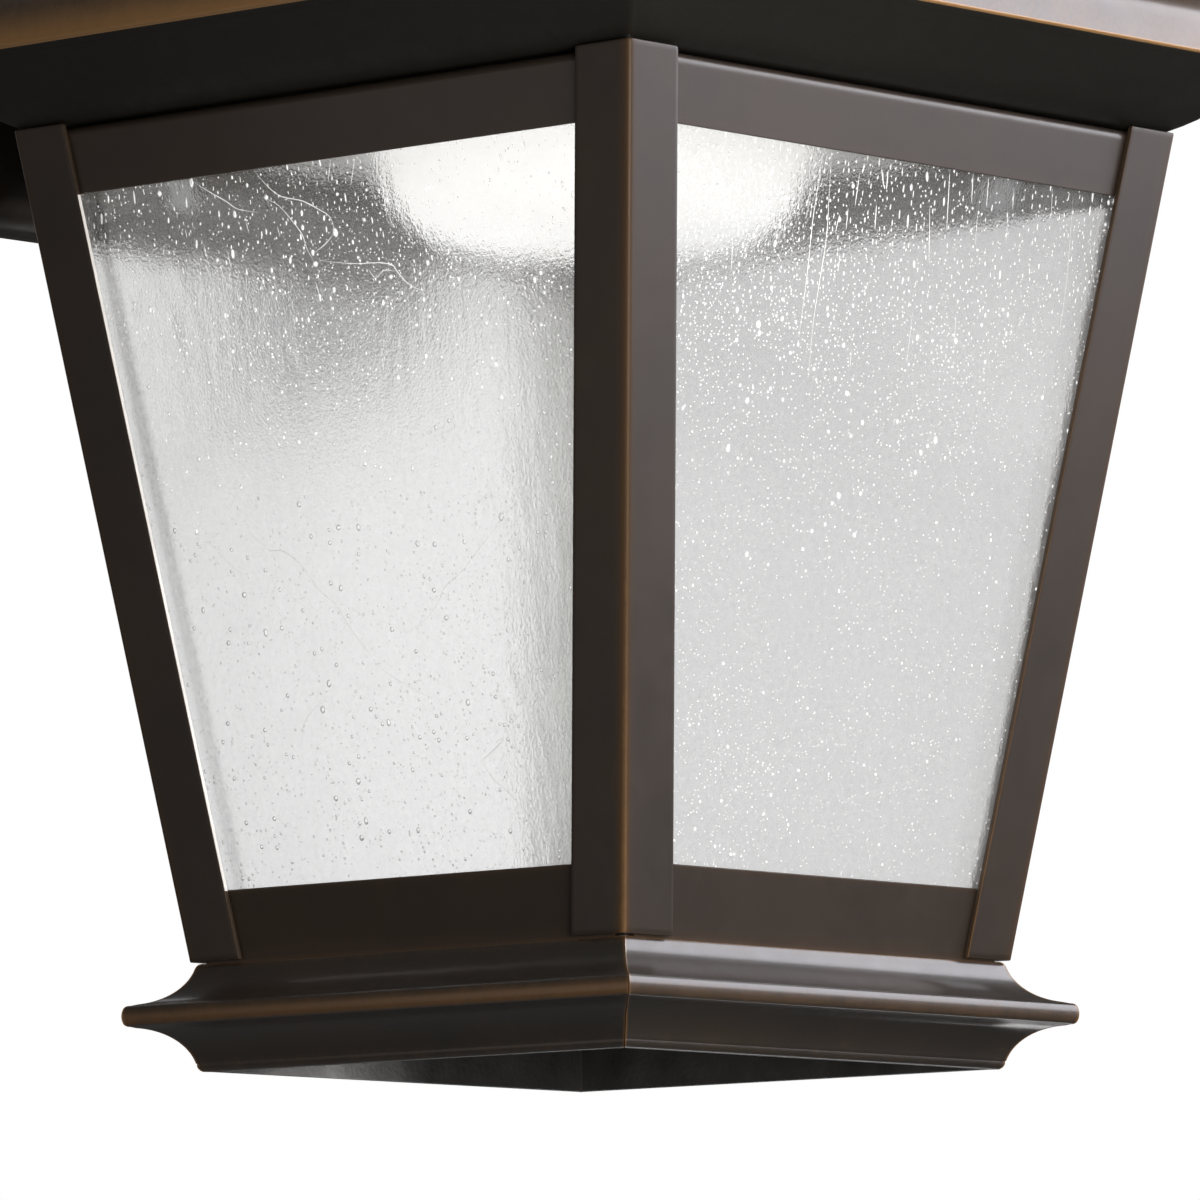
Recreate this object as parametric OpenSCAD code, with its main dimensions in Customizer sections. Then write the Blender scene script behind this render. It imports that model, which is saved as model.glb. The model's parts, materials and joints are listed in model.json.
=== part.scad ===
// Outdoor wall lantern: a leaning four-sided glazed cage on a moulded base, under a
// square swept roof, hung from an arm on a wall plate. Millimetres, +Z up.
// Origin: centre of the wall plate on the wall plane. -Y points away from the wall.

/* [Cage] */
// Width of the cage across its outer faces at the bottom of the glass
cage_w = 150; // [140:1:156]
// Outward lean of each cage face, millimetres per millimetre of height
cage_lean = 0.1477; // [0.135:0.0001:0.155]
// Height of the clear glass between the rails
glass_h = 173.5; // [160:0.5:180]
// Width of each leg of the angled corner posts
post_leg = 17.4; // [14:0.1:20]
// Sheet thickness of the posts and rails
sheet_t = 1.5; // [1.2:0.1:1.8]
// Height of the rail above the glass
top_rail_h = 16.5; // [14:0.5:18]
// Height of the rail below the glass
bottom_rail_h = 17.2; // [14:0.2:20]
// Thickness of the glass panes
glass_t = 3; // [2:0.5:3.5]

/* [Roof] */
// Width of the roof across its lip
roof_w = 245; // [236:1:250]
// Height of the upright band at the roof's lip
lip_h = 7; // [5:0.5:10]
// Radius of the rounding between the lip and the slope
lip_r = 9; // [7:0.5:11]
// Slope of the roof just above the lip, degrees
roof_slope_low = 16.6; // [12:0.2:20]
// Slope of the roof just below its top, degrees
roof_slope_high = 53.6; // [48:0.2:58]
// Width of the flat top of the roof
roof_top_w = 76; // [66:1:86]
// Sheet thickness of the roof
roof_t = 1.8; // [1.2:0.1:2.4]

/* [Base] */
// Height of the base moulding
base_h = 26.8; // [26.8:0.1:34]

/* [Light] */
// Diameter of the opal bowl
bowl_d = 107; // [100:1:110]
// How far the opal bowl hangs below the ceiling tray
bowl_drop = 28.7; // [26:0.1:34]
// Number of light-emitting chips in the outer ring
chips_outer = 12; // [6:1:16]
// Number of light-emitting chips in the inner ring
chips_inner = 6; // [3:1:8]

/* [Arm and wall plate] */
// Distance from the wall to the lantern's vertical axis
axis_out = 150; // [148:1:170]
// Outside size of the square arm tube
arm_w = 18; // [17:0.5:20]
// Radius of the arm's bend on its centre line
arm_bend = 45; // [35:1:50]
// Width of the wall plate
plate_w = 172; // [160:1:190]
// Height of the wall plate
plate_h = 230; // [220:1:250]
// Depth of the wall plate with its seal
plate_d = 20; // [19:0.5:24]
// Radius of the plate's rounded front edge
plate_r = 8; // [6:0.5:9]
// Wall thickness of the plate
plate_t = 2.5; // [2:0.1:3]
// Distance between the two cap nuts
nut_pitch = 120; // [116:1:124]
// Distance between the centres of the crossbar's box slots
slot_pitch = 79.4; // [76:0.1:84]

/* [Hidden] */
$fn = 64;

// The lantern is drawn about its own axis with z = 0 at the bottom of the glass.
drop = 288;                       // from the plate's centre down to the bottom of the glass
lean_a = atan(cage_lean);         // lean angle of each face
post_z0 = -bottom_rail_h + 0.3;   // feet of the posts
post_z1 = glass_h + top_rail_h + 1.4; // heads of the posts, where the roof sits
wall_y = axis_out;                // wall plane seen from the lantern's axis
plate_y = wall_y - plate_d;       // front of the wall plate
arm_z = drop + 75;                // centre line of the arm's level run
half_c = cage_w / 2;
function wh(z) = half_c + cage_lean * z;          // outer half-width at height z
function wf(v) = half_c + sin(lean_a) * v;        // the same, measured up the face
function up(z) = z / cos(lean_a);                 // height measured up the face
function arc(cx, cy, r, a0, a1, n) =
  [for (i = [0:n]) [cx + r * cos(a0 + (a1 - a0) * i / n), cy + r * sin(a0 + (a1 - a0) * i / n)]];
function flip(p) = [for (i = [len(p) - 1:-1:0]) [-p[i][0], p[i][1]]];

bronze = [0.17, 0.14, 0.12];
steel = [0.72, 0.73, 0.75];
white = [0.93, 0.93, 0.92];

module lantern() translate([0, -axis_out, -drop]) children();

// Draws on one leaning face: x along the face, z up the face, y inward from its outer plane.
module on_face(a) rotate([0, 0, a]) translate([0, -half_c, 0]) rotate([lean_a, 0, 0]) children();

// A bar along X from a section given as (y, z) points.
module bar_x(pts, len_x) rotate([90, 0, 90]) linear_extrude(len_x, center = true) polygon(pts);

// Keeps what lies on a face between heights v0 and v1 and inside the cage edge by inset.
module face_trim(v0, v1, inset)
  rotate([90, 0, 0]) linear_extrude(80, center = true)
    polygon([[-wf(v0) + inset, v0], [wf(v0) - inset, v0], [wf(v1) - inset, v1], [-wf(v1) + inset, v1]]);

// A solid of square plan whose half-width follows the (half-width, z) points, listed upward.
module square_solid(pts, w = 300) intersection() {
  rotate([90, 0, 90]) linear_extrude(w, center = true) polygon(concat(pts, flip(pts)));
  rotate([90, 0, 0]) linear_extrude(w, center = true) polygon(concat(pts, flip(pts)));
}

module at_corners(r) for (a = [0, 90, 180, 270]) rotate([0, 0, a]) translate([r, r, 0]) children();

// Machine screw, head at the origin pointing down, shank up.
module screw_up(r, len_s, head_r, head_h) {
  translate([0, 0, -head_h]) cylinder(r = head_r, h = head_h);
  translate([0, 0, -0.01]) cylinder(r = r, h = len_s + 0.01);
}

// ---- Cage: four angled posts, eight rails, four panes -------------------------------
post_r = 1.2;
post_ring = concat([[post_leg, 0], [post_leg, sheet_t], [sheet_t, sheet_t], [sheet_t, post_leg], [0, post_leg]],
                   arc(post_r, post_r, post_r, 180, 270, 4));
module post() {
  n = len(post_ring);
  w0 = wh(post_z0);
  w1 = wh(post_z1);
  polyhedron(
    points = concat([for (p = post_ring) [-w0 + p[0], -w0 + p[1], post_z0]],
                    [for (p = post_ring) [-w1 + p[0], -w1 + p[1], post_z1]]),
    faces = concat([[for (i = [0:n - 1]) i]], [[for (i = [n - 1:-1:0]) i + n]],
                   [for (i = [0:n - 1]) [i, i + n, (i + 1) % n + n, (i + 1) % n]]));
}
module corner_post_front_left() color(bronze) lantern() post();
module corner_post_front_right() color(bronze) lantern() mirror([1, 0, 0]) post();
module corner_post_back_left() color(bronze) lantern() mirror([0, 1, 0]) post();
module corner_post_back_right() color(bronze) lantern() rotate([0, 0, 180]) post();

// Rail above the glass: an upright web whose top edge turns inward over a round bend.
rail_b = up(glass_h);
rail_t = up(glass_h + top_rail_h);
module top_rail(a) color(bronze) lantern() on_face(a) {
  s = sheet_t;
  intersection() {
    bar_x(concat([[s, rail_b], [2 * s, rail_b], [2 * s, rail_t - s - 0.5], [2 * s + 0.5, rail_t - s],
                  [2 * s + 0.5, rail_t]], arc(2 * s + 0.5, rail_t - s - 0.5, s + 0.5, 96, 180, 7)), 260);
    face_trim(rail_b - 5, rail_t + 5, 5);
  }
  translate([0, 0, 0]) intersection() {
    translate([-150, 2 * s + 0.5, rail_t - s]) cube([300, 5, s]);
    face_trim(rail_t - s - 1, rail_t + 1, 16);
  }
}
module top_rail_front() top_rail(0);
module top_rail_right() top_rail(90);
module top_rail_back() top_rail(180);
module top_rail_left() top_rail(270);

// Rail below the glass: a plain upright web.
module bottom_rail(a) color(bronze) lantern() on_face(a) intersection() {
  translate([-150, sheet_t, -up(bottom_rail_h) - 0.3]) cube([300, sheet_t, up(bottom_rail_h) + 0.3]);
  face_trim(-up(bottom_rail_h) - 5, 5, 5);
}
module bottom_rail_front() bottom_rail(0);
module bottom_rail_right() bottom_rail(90);
module bottom_rail_back() bottom_rail(180);
module bottom_rail_left() bottom_rail(270);

// Panes lap 8 mm behind the rails and 10 mm behind the posts.
glass_y = 2 * sheet_t + 0.3;
pane_v0 = -8;
pane_v1 = rail_b + 7.6;
module pane(a) color([0.86, 0.90, 0.92, 0.45]) lantern() on_face(a)
  translate([0, glass_y + glass_t, 0]) rotate([90, 0, 0]) linear_extrude(glass_t)
    polygon([[-wf(pane_v0) + 7.2 + glass_t - 3, pane_v0], [wf(pane_v0) - 7.2 - glass_t + 3, pane_v0],
             [wf(pane_v1) - 7.2 - glass_t + 3, pane_v1], [-wf(pane_v1) + 7.2 + glass_t - 3, pane_v1]]);
module glass_front() pane(0);
module glass_right() pane(90);
module glass_back() pane(180);
module glass_left() pane(270);

// Bent spring clips, two above and two below each pane, hidden behind the rails.
module clip(top) {
  y0 = 2 * sheet_t;
  y1 = glass_y + glass_t + 0.1;
  t = 0.8;
  d = top ? 1 : -1;
  e = top ? pane_v1 + 1.2 : pane_v0 - 1.2;
  pts = [[y0, e + d * 5], [y0 + t, e + d * 5], [y0 + t, e + d * t], [y1 + t, e + d * t],
         [y1 + t, e - d * 7.4], [y1, e - d * 7.4], [y1, e], [y0, e]];
  bar_x(pts, 10);
}
module glass_clips() color(steel) lantern() for (a = [0, 90, 180, 270]) on_face(a)
  for (s = [-1, 1]) {
    translate([s * wf(pane_v1) * 0.5, 0, 0]) clip(true);
    translate([s * wf(pane_v0) * 0.5, 0, 0]) clip(false);
  }

// Corner gussets inside the posts: they carry the roof screws above and the base screws below.
module top_gussets() color(bronze) lantern() at_corners(0) translate([0, 0, post_z1 - 2.7])
  difference() {
    w = wh(post_z1 - 2.7) - 2 * sheet_t;
    union() {
      translate([w - 11.4, w - 11.4, 0]) cube([10.2, 10.2, 1.5]);
      translate([wh(post_z1) - 27, wh(post_z1) - 27, 0]) cube([16.5, 16.5, 1.5]);
    }
    translate([wh(post_z1) - 18, wh(post_z1) - 18, -1]) cylinder(r = 2.1, h = 4);
  }
gus = wh(post_z0) - 2 * sheet_t - 0.9;
module bottom_gussets() color(bronze) lantern() at_corners(0) translate([0, 0, post_z0 - 0.4 + 0.1])
  difference() {
    translate([gus - 20, gus - 20, 0]) cube([20, 20, 2]);
    translate([gus - 14.2, gus - 14.2, -1]) cylinder(r = 1.7, h = 4);
  }

// ---- Base: four mitred mouldings around a flat pan ----------------------------------
bh = wh(post_z0) - 2.7;           // half-width of the moulding's top edge
bz = -bottom_rail_h - 0.1;        // its top face
ext = base_h - 26.8;              // extra height goes into the lip
mould = concat(
  [[-11.8, -2], [-11.8, 0]],
  arc(0.2, -1.2, 1.2, 90, 20, 4),
  arc(13.2, 2.0, 12.1, 195, 261, 12),
  arc(12.9, -11.7, 1.5, 96, 0, 6),
  arc(12.9, -14.1 - ext, 1.5, 0, -96, 6),
  arc(12.9, -27.6 - ext, 11.9, 95, 165, 12),
  arc(-0.6, -25.0 - ext, 1.8, 8, -90, 6),
  [[-3.0, -26.8 - ext], [-3.0, -2]]);
module moulding(a) color([0.20, 0.14, 0.10]) lantern() rotate([0, 0, a]) intersection() {
  bar_x([for (p = mould) [-(bh + p[0]), bz + p[1]]], 200);
  translate([0, 0, bz - 45]) linear_extrude(60) polygon([[0, 0], [-100, -100], [100, -100]]);
}
module base_moulding_front() moulding(0);
module base_moulding_right() moulding(90);
module base_moulding_back() moulding(180);
module base_moulding_left() moulding(270);

scr = gus - 14.2;                 // base screws, from the axis
module base_pan() color([0.22, 0.20, 0.19]) lantern() difference() {
  translate([-bh + 3.3, -bh + 3.3, bz - 4]) cube([2 * bh - 6.6, 2 * bh - 6.6, 2]);
  at_corners(scr) translate([0, 0, bz - 5]) cylinder(r = 2.0, h = 4);
  translate([0, 0, bz - 5]) cylinder(r = 2.5, h = 4);   // weep hole
}
module base_screws() color(steel) lantern() at_corners(scr)
  translate([0, 0, bz - 4]) difference() {
    screw_up(1.6, 9, 3.2, 1.9);
    for (b = [0, 90]) rotate([0, 0, b]) translate([-2, -0.4, -2]) cube([4, 0.8, 1]);
  }

// ---- Roof --------------------------------------------------------------------------
rh = roof_w / 2;
rim_z = post_z1 + 17.1;           // bottom edge of the lip
sa = [sin(roof_slope_low), cos(roof_slope_low)];
sb = [sin(roof_slope_high), cos(roof_slope_high)];
roof_s = [rh - lip_r + lip_r * sa[0], rim_z + lip_h + lip_r * sa[1]]; // foot of the sweep
roof_r = (roof_s[0] - roof_top_w / 2) / (sb[0] - sa[0]);
roof_c = [roof_s[0] + roof_r * sa[0], roof_s[1] + roof_r * sa[1]];
roof_z = roof_c[1] - roof_r * sb[1];                 // top of the roof
function sweep_pts(r, n) = [for (i = [0:n]) let (t = roof_slope_low + (roof_slope_high - roof_slope_low) * i / n)
  [roof_c[0] - r * sin(t), roof_c[1] - r * cos(t)]];
sof_w = wh(post_z1) - 2.8;        // where the soffit turns up
sof_bend = [[sof_w, post_z1], [sof_w + 1.6, post_z1 + 0.4], [sof_w + 4.3, post_z1 + 1.8], [sof_w + 7.1, post_z1 + 3.5]];
slope_k = (rim_z - sof_bend[3][1]) / (rh - sof_bend[3][0]);
function on_slope(h) = sof_bend[3][1] + slope_k * (h - sof_bend[3][0]);

module roof_shell() color([0.24, 0.19, 0.16]) lantern() difference() {
  square_solid(concat([[rh - roof_t, on_slope(rh - roof_t)], [rh, rim_z]],
                      arc(rh - lip_r, rim_z + lip_h, lip_r, 0, 84 - roof_slope_low, 6),
                      sweep_pts(roof_r, 14)));
  square_solid(concat([[rh - roof_t, rim_z - 20]],
                      arc(rh - lip_r, rim_z + lip_h, lip_r - roof_t, 0, 84 - roof_slope_low, 6),
                      sweep_pts(roof_r + roof_t, 14),
                      [[roof_top_w / 2 - 3, roof_z - roof_t]]));
  translate([0, 0, roof_z - 10]) cylinder(r = 5.2, h = 20);
}
module roof_soffit() color(bronze) lantern() difference() {
  square_solid(concat(sof_bend, [[rh - roof_t - 0.2, on_slope(rh - roof_t - 0.2)],
                                 [rh - roof_t - 1.3, on_slope(rh - roof_t - 1.3) + 2.1]]));
  square_solid([[wh(post_z1) - 27.3, post_z1 - 5], [wh(post_z1) - 27.3, post_z1 + 1.5],
                [sof_w - 0.4, post_z1 + 1.5], [sof_bend[3][0] - 1, sof_bend[3][1] + 1.1],
                [rh - roof_t - 1.2, on_slope(rh - roof_t - 1.2) + 2.3], [rh - roof_t - 1.2, rim_z + 10]]);
  at_corners(wh(post_z1) - 18) translate([0, 0, post_z1 - 3]) cylinder(r = 1.7, h = 6);
}
module roof_screws() color(steel) lantern() at_corners(wh(post_z1) - 18)
  translate([0, 0, post_z1 - 2.7]) difference() {
    screw_up(1.6, 7, 3.2, 1.9);
    for (b = [0, 90]) rotate([0, 0, b]) translate([-2, -0.4, -2]) cube([4, 0.8, 1]);
  }

// Cast cap between the roof and the arm, bored for the hollow stem, socketed for the arm.
cap_z = roof_z + 1;
rt = roof_top_w / 2;
cap_pts = concat(
  [[rt + 2, 0]], arc(rt + 1.6, 2, 1.6, -30, 90, 6),
  arc(rt + 0.4, 17.6, 14, 268, 187, 12),
  [[rt - 15.2, 17.2], [rt - 15.6, 18.4]],
  arc(rt - 4, 27.4, 14.4, 215, 180, 6),
  [[rt - 18.4, 29], [rt - 18.4, 30.4], [rt - 21.2, 32.2], [rt - 23.6, 32.8], [rt - 24.2, 38]]);
module roof_cap() color([0.22, 0.17, 0.14]) lantern() translate([0, 0, cap_z]) difference() {
  square_solid(cap_pts, 120);
  translate([-arm_w / 2 - 0.1, -arm_w / 2 - 0.1, 28]) cube([arm_w + 0.2, arm_w + 0.2, 20]);
  translate([0, 0, -1]) cylinder(r = 5.1, h = 40);
  translate([0, 0, -1]) cylinder(r = 9, h = 20);
}
module roof_seal() color([0.08, 0.08, 0.08]) lantern() translate([0, 0, roof_z])
  difference() {
    cylinder(r = 30, h = 1);
    translate([0, 0, -1]) cylinder(r = 9, h = 3);
  }
module stem_pipe() color([0.75, 0.62, 0.32]) lantern() difference() {
  translate([0, 0, roof_z - 14]) cylinder(r = 5, h = 54);
  translate([0, 0, roof_z - 15]) cylinder(r = 3.5, h = 56);
}
module stem_washer() color(steel) lantern() translate([0, 0, roof_z - roof_t - 1.6])
  difference() {
    cylinder(r = 11, h = 1.6);
    translate([0, 0, -1]) cylinder(r = 5.1, h = 4);
  }
module stem_nut() color(steel) lantern() translate([0, 0, roof_z - roof_t - 7.6])
  difference() {
    cylinder(r = 9.24, h = 6, $fn = 6);
    translate([0, 0, -1]) cylinder(r = 5.05, h = 8);
  }

// ---- Light: ceiling tray, chip board, heat sink, driver and opal bowl ----------------
tray_z = post_z1 - 1.2;
tray_w = wh(post_z1) - 10.3;
lead_x = 44;                      // where the leads pass the tray
drv_x = 49;                       // inner face of the driver
module ceiling_tray() color(white) lantern() difference() {
  translate([-tray_w, -tray_w, tray_z]) cube([2 * tray_w, 2 * tray_w, 1.2]);
  at_corners(wh(post_z1) - 18) translate([0, 0, tray_z - 1]) cylinder(r = 1.9, h = 4);
  translate([lead_x, 0, tray_z - 1]) cylinder(r = 2.6, h = 4);
  for (a = [90, 210, 330]) rotate([0, 0, a]) translate([38, 0, tray_z - 1]) cylinder(r = 1.55, h = 4);
  for (s = [-1, 1]) translate([62, s * 47, tray_z - 1]) cylinder(r = 1.55, h = 4);
}
module heat_sink() color([0.80, 0.81, 0.83]) lantern() translate([0, 0, post_z1]) difference() {
  union() {
    cylinder(r = 46, h = 3);
    for (i = [-5:5]) translate([-sqrt(44 * 44 - 49 * i * i), i * 7 - 0.8, 2.9])
      cube([2 * sqrt(44 * 44 - 49 * i * i), 1.6, 9.1]);
  }
  translate([40, -60, -1]) cube([40, 120, 30]);
  for (a = [90, 210, 330]) rotate([0, 0, a]) translate([38, 0, -1]) cylinder(r = 1.3, h = 3.4);
}
module led_board() color([0.92, 0.93, 0.90]) lantern() translate([0, 0, tray_z - 1.6]) difference() {
  cylinder(r = 48, h = 1.6);
  translate([lead_x, 0, -1]) cylinder(r = 2.6, h = 4);
  for (a = [90, 210, 330]) rotate([0, 0, a]) translate([38, 0, -1]) cylinder(r = 1.55, h = 4);
}
module led_chips() color([0.95, 0.85, 0.35]) lantern() {
  for (i = [0:chips_outer - 1]) rotate([0, 0, (i + 0.5) * 360 / chips_outer]) translate([31, 0, tray_z - 2])
    cube([3.5, 2.8, 0.8], center = true);
  for (i = [0:chips_inner - 1]) rotate([0, 0, i * 360 / chips_inner]) translate([15, 0, tray_z - 2])
    cube([3.5, 2.8, 0.8], center = true);
}
module board_screws() color(steel) lantern() for (a = [90, 210, 330]) rotate([0, 0, a])
  translate([38, 0, tray_z - 1.6]) screw_up(1.25, 5, 2.6, 1.6);

br = bowl_d / 2;
bt = 2.2;
module opal_bowl() color([0.97, 0.97, 0.95]) lantern() translate([0, 0, tray_z]) rotate_extrude()
  polygon(concat([[0, -bowl_drop], [12, -bowl_drop + 0.15], [24, -bowl_drop + 0.8]],
                 arc(br - 21, -bowl_drop + 23, 21, -77, 0, 10),
                 [[br, -2.1], [br + 3.3, -2.1], [br + 3.3, 0], [br - bt, 0]],
                 arc(br - 21, -bowl_drop + 23, 21 - bt, 0, -77, 10),
                 [[24, -bowl_drop + bt + 0.8], [12, -bowl_drop + bt + 0.15], [0, -bowl_drop + bt]]));
module bowl_ring() color(white) lantern() translate([0, 0, tray_z]) rotate_extrude()
  polygon(concat([[br + 3.5, 0], [br + 3.5, -2.2], [br + 0.2, -2.2], [br + 0.2, -3.6]],
                 arc(br + 6, -2.1, 1.5, -90, 0, 4), [[br + 7.5, 0]]));

module led_driver() color([0.90, 0.90, 0.88]) lantern() translate([drv_x, -42, post_z1])
  difference() {
    union() {
      cube([26, 84, 22]);
      translate([7, -9, 0]) cube([12, 102, 2.4]);
    }
    for (y = [-5, 89]) translate([13, y, -1]) cylinder(r = 1.7, h = 5);
    translate([13, 42, 18]) cylinder(r = 2.7, h = 10);
    for (s = [-1.4, 1.4]) translate([-1, 42 + s, 7]) rotate([0, 90, 0]) cylinder(r = 0.85, h = 4);
  }
module driver_screws() color(steel) lantern() for (s = [-1, 1])
  translate([62, s * 47, post_z1 + 2.4]) rotate([180, 0, 0]) difference() {
    screw_up(1.5, 4.6, 2.9, 1.8);
    for (b = [0, 90]) rotate([0, 0, b]) translate([-2, -0.4, -1.9]) cube([4, 0.8, 1]);
  }
// Two insulated leads from the driver, through the tray, to the chip board.
module led_leads() color([0.75, 0.10, 0.08]) lantern() for (s = [-1.4, 1.4]) translate([0, s, 0]) {
  translate([lead_x, 0, tray_z - 1.6]) cylinder(r = 0.8, h = post_z1 + 7 - 3 - tray_z + 1.6);
  translate([lead_x + 3, 0, post_z1 + 4]) rotate([90, 0, 180]) rotate_extrude(angle = 90)
    translate([3, 0]) circle(r = 0.8);
  translate([lead_x + 3, 0, post_z1 + 7]) rotate([0, 90, 0]) cylinder(r = 0.8, h = drv_x + 3 - lead_x - 3);
}

// ---- Arm: a square tube, level from the plate, bent down into the cap ----------------
sock_z = cap_z + 28.1;            // lower end of the arm, in the cap's socket
bend_z = arm_z - arm_bend;        // where the bend starts
module tube_sec(w, r) union() {
  square([w, w - 2 * r], center = true);
  square([w - 2 * r, w], center = true);
  for (x = [-1, 1], y = [-1, 1]) translate([x * (w / 2 - r), y * (w / 2 - r)]) circle(r = r, $fn = 32);
}
module arm_run(e) {
  translate([0, 0, sock_z - e]) linear_extrude(bend_z - sock_z + e) children();
  translate([0, arm_bend, bend_z]) rotate([90, 0, -90]) rotate_extrude(angle = 90)
    translate([arm_bend, 0]) children();
  translate([0, arm_bend, arm_z]) rotate([-90, 0, 0]) linear_extrude(plate_y - 6 - arm_bend + e) children();
}
module arm_tube() color([0.20, 0.16, 0.13]) lantern() difference() {
  arm_run(0) tube_sec(arm_w, 2);
  arm_run(1) square([arm_w - 3, arm_w - 3], center = true);
}
module arm_plug() color(steel) lantern() translate([0, 0, sock_z]) difference() {
  translate([-arm_w / 2 + 1.55, -arm_w / 2 + 1.55, 0]) cube([arm_w - 3.1, arm_w - 3.1, 10]);
  translate([0, 0, -1]) cylinder(r = 5.05, h = 12);
}
// Square boss where the arm meets the plate.
module arm_boss() color([0.22, 0.17, 0.14]) lantern() translate([0, plate_y, arm_z]) rotate([90, 0, 0])
  difference() {
    square_solid([[21, 0], [21, 2], [20, 3], [17, 3.6], [12.5, 6]], 80);
    translate([0, 0, -1]) cylinder(r = 5, h = 10);
    for (s = [-1, 1]) translate([s * 14, 0, -1]) cylinder(r = 1.6, h = 4);
  }
module boss_screws() color(steel) lantern() for (s = [-1, 1])
  translate([s * 14, plate_y + plate_t, arm_z]) rotate([90, 0, 0]) screw_up(1.55, plate_t + 2.8, 3.2, 2);

// Sheathed lead: driver, stem, arm, terminal block.
lr = 2.5;
drv_lead_x = drv_x + 13;
bend_q = [18, 233 - 191.4 + post_z1];   // bend radius and height of the level run inside the roof
module q_bend(r) rotate_extrude(angle = 90) translate([r, 0]) circle(r = lr, $fn = 24);
module supply_lead() color([0.86, 0.86, 0.84]) lantern() {
  r = bend_q[0];
  z = bend_q[1];
  translate([drv_lead_x, 0, post_z1 + 18.1]) cylinder(r = lr, h = z - r - post_z1 - 18.1);
  translate([drv_lead_x - r, 0, z - r]) rotate([90, 0, 0]) q_bend(r);
  translate([r, 0, z]) rotate([0, 90, 0]) cylinder(r = lr, h = drv_lead_x - 2 * r);
  translate([r, 0, z + r]) rotate([90, 0, 180]) mirror([0, 1, 0]) q_bend(r);
  translate([0, 0, z + r]) cylinder(r = lr, h = bend_z - z - r);
  translate([0, arm_bend, bend_z]) rotate([90, 0, -90]) q_bend(arm_bend);
  translate([0, arm_bend, arm_z]) rotate([-90, 0, 0]) cylinder(r = lr, h = plate_y + plate_t + 1 - arm_bend);
  translate([0, plate_y + plate_t + 1, arm_z - 5.5]) rotate([90, 0, 90]) q_bend(5.5);
  translate([0, plate_y + plate_t + 6.5, drop + 47]) cylinder(r = lr, h = arm_z - 5.5 - drop - 47);
}

// ---- Wall plate and its fixings -------------------------------------------------------
// A pan with rounded front edges. s shrinks it for the inside; back is its open side.
module pan(w, h, d, r) intersection() {
  linear_extrude(h, center = true) union() {
    translate([-w / 2, r]) square([w, d - r]);
    translate([-w / 2 + r, 0]) square([w - 2 * r, d]);
    for (s = [-1, 1]) translate([s * (w / 2 - r), r]) circle(r = r);
  }
  rotate([0, 90, 0]) linear_extrude(w, center = true) union() {
    translate([-h / 2, r]) square([h, d - r]);
    translate([-h / 2 + r, 0]) square([h - 2 * r, d]);
    for (s = [-1, 1]) translate([s * (h / 2 - r), r]) circle(r = r);
  }
}
seal_t = 1.5;
module wall_plate() color([0.20, 0.16, 0.14]) translate([0, -plate_d, 0]) difference() {
  pan(plate_w, plate_h, plate_d - seal_t, plate_r);
  translate([0, plate_t, 0]) pan(plate_w - 2 * plate_t, plate_h - 2 * plate_t, plate_d, plate_r - plate_t);
  for (s = [-1, 1]) translate([s * nut_pitch / 2, -1, 0]) rotate([-90, 0, 0]) cylinder(r = 2.7, h = 10);
  translate([0, -1, arm_z - drop]) rotate([-90, 0, 0]) cylinder(r = 4, h = 10);
  for (s = [-1, 1]) translate([s * 14, -1, arm_z - drop]) rotate([-90, 0, 0]) cylinder(r = 1.9, h = 10);
  for (s = [-1, 1]) translate([s * 13.6, 0.8, 39]) rotate([-90, 0, 0]) cylinder(r = 1.25, h = 10);
}
module plate_seal() color([0.10, 0.10, 0.10]) translate([0, -seal_t, 0]) rotate([-90, 0, 0]) difference() {
  linear_extrude(seal_t) square([plate_w - 0.6, plate_h - 0.6], center = true);
  translate([0, 0, -1]) linear_extrude(seal_t + 2) square([plate_w - 12, plate_h - 12], center = true);
}
bar_t = 2.4;
module crossbar() color(steel) difference() {
  translate([-70, -bar_t, -12]) cube([140, bar_t, 24]);
  for (s = [-1, 1]) {
    translate([s * nut_pitch / 2, -5, 0]) rotate([-90, 0, 0]) cylinder(r = 2.08, h = 10);
    for (e = [-1, 1]) translate([s * slot_pitch / 2 + e * 4.75, -5, 0]) rotate([-90, 0, 0]) cylinder(r = 2.4, h = 10);
    translate([s * slot_pitch / 2 - 4.75, -5, -2.4]) cube([9.5, 10, 4.8]);
  }
  translate([18, -5, 5]) rotate([-90, 0, 0]) cylinder(r = 1.75, h = 10);
}
nut_y = -plate_d - 0.25;          // back face of the cap nuts
module plate_studs() color(steel) for (s = [-1, 1])
  translate([s * nut_pitch / 2, 0, 0]) rotate([90, 0, 0]) cylinder(r = 2.05, h = plate_d + 9);
module stud_nuts() color(steel) for (s = [-1, 1])
  translate([s * nut_pitch / 2, -bar_t, 0]) rotate([90, 0, 0]) difference() {
    cylinder(r = 4.9, h = 3.2, $fn = 6);
    translate([0, 0, -1]) cylinder(r = 2.1, h = 6);
  }
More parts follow.
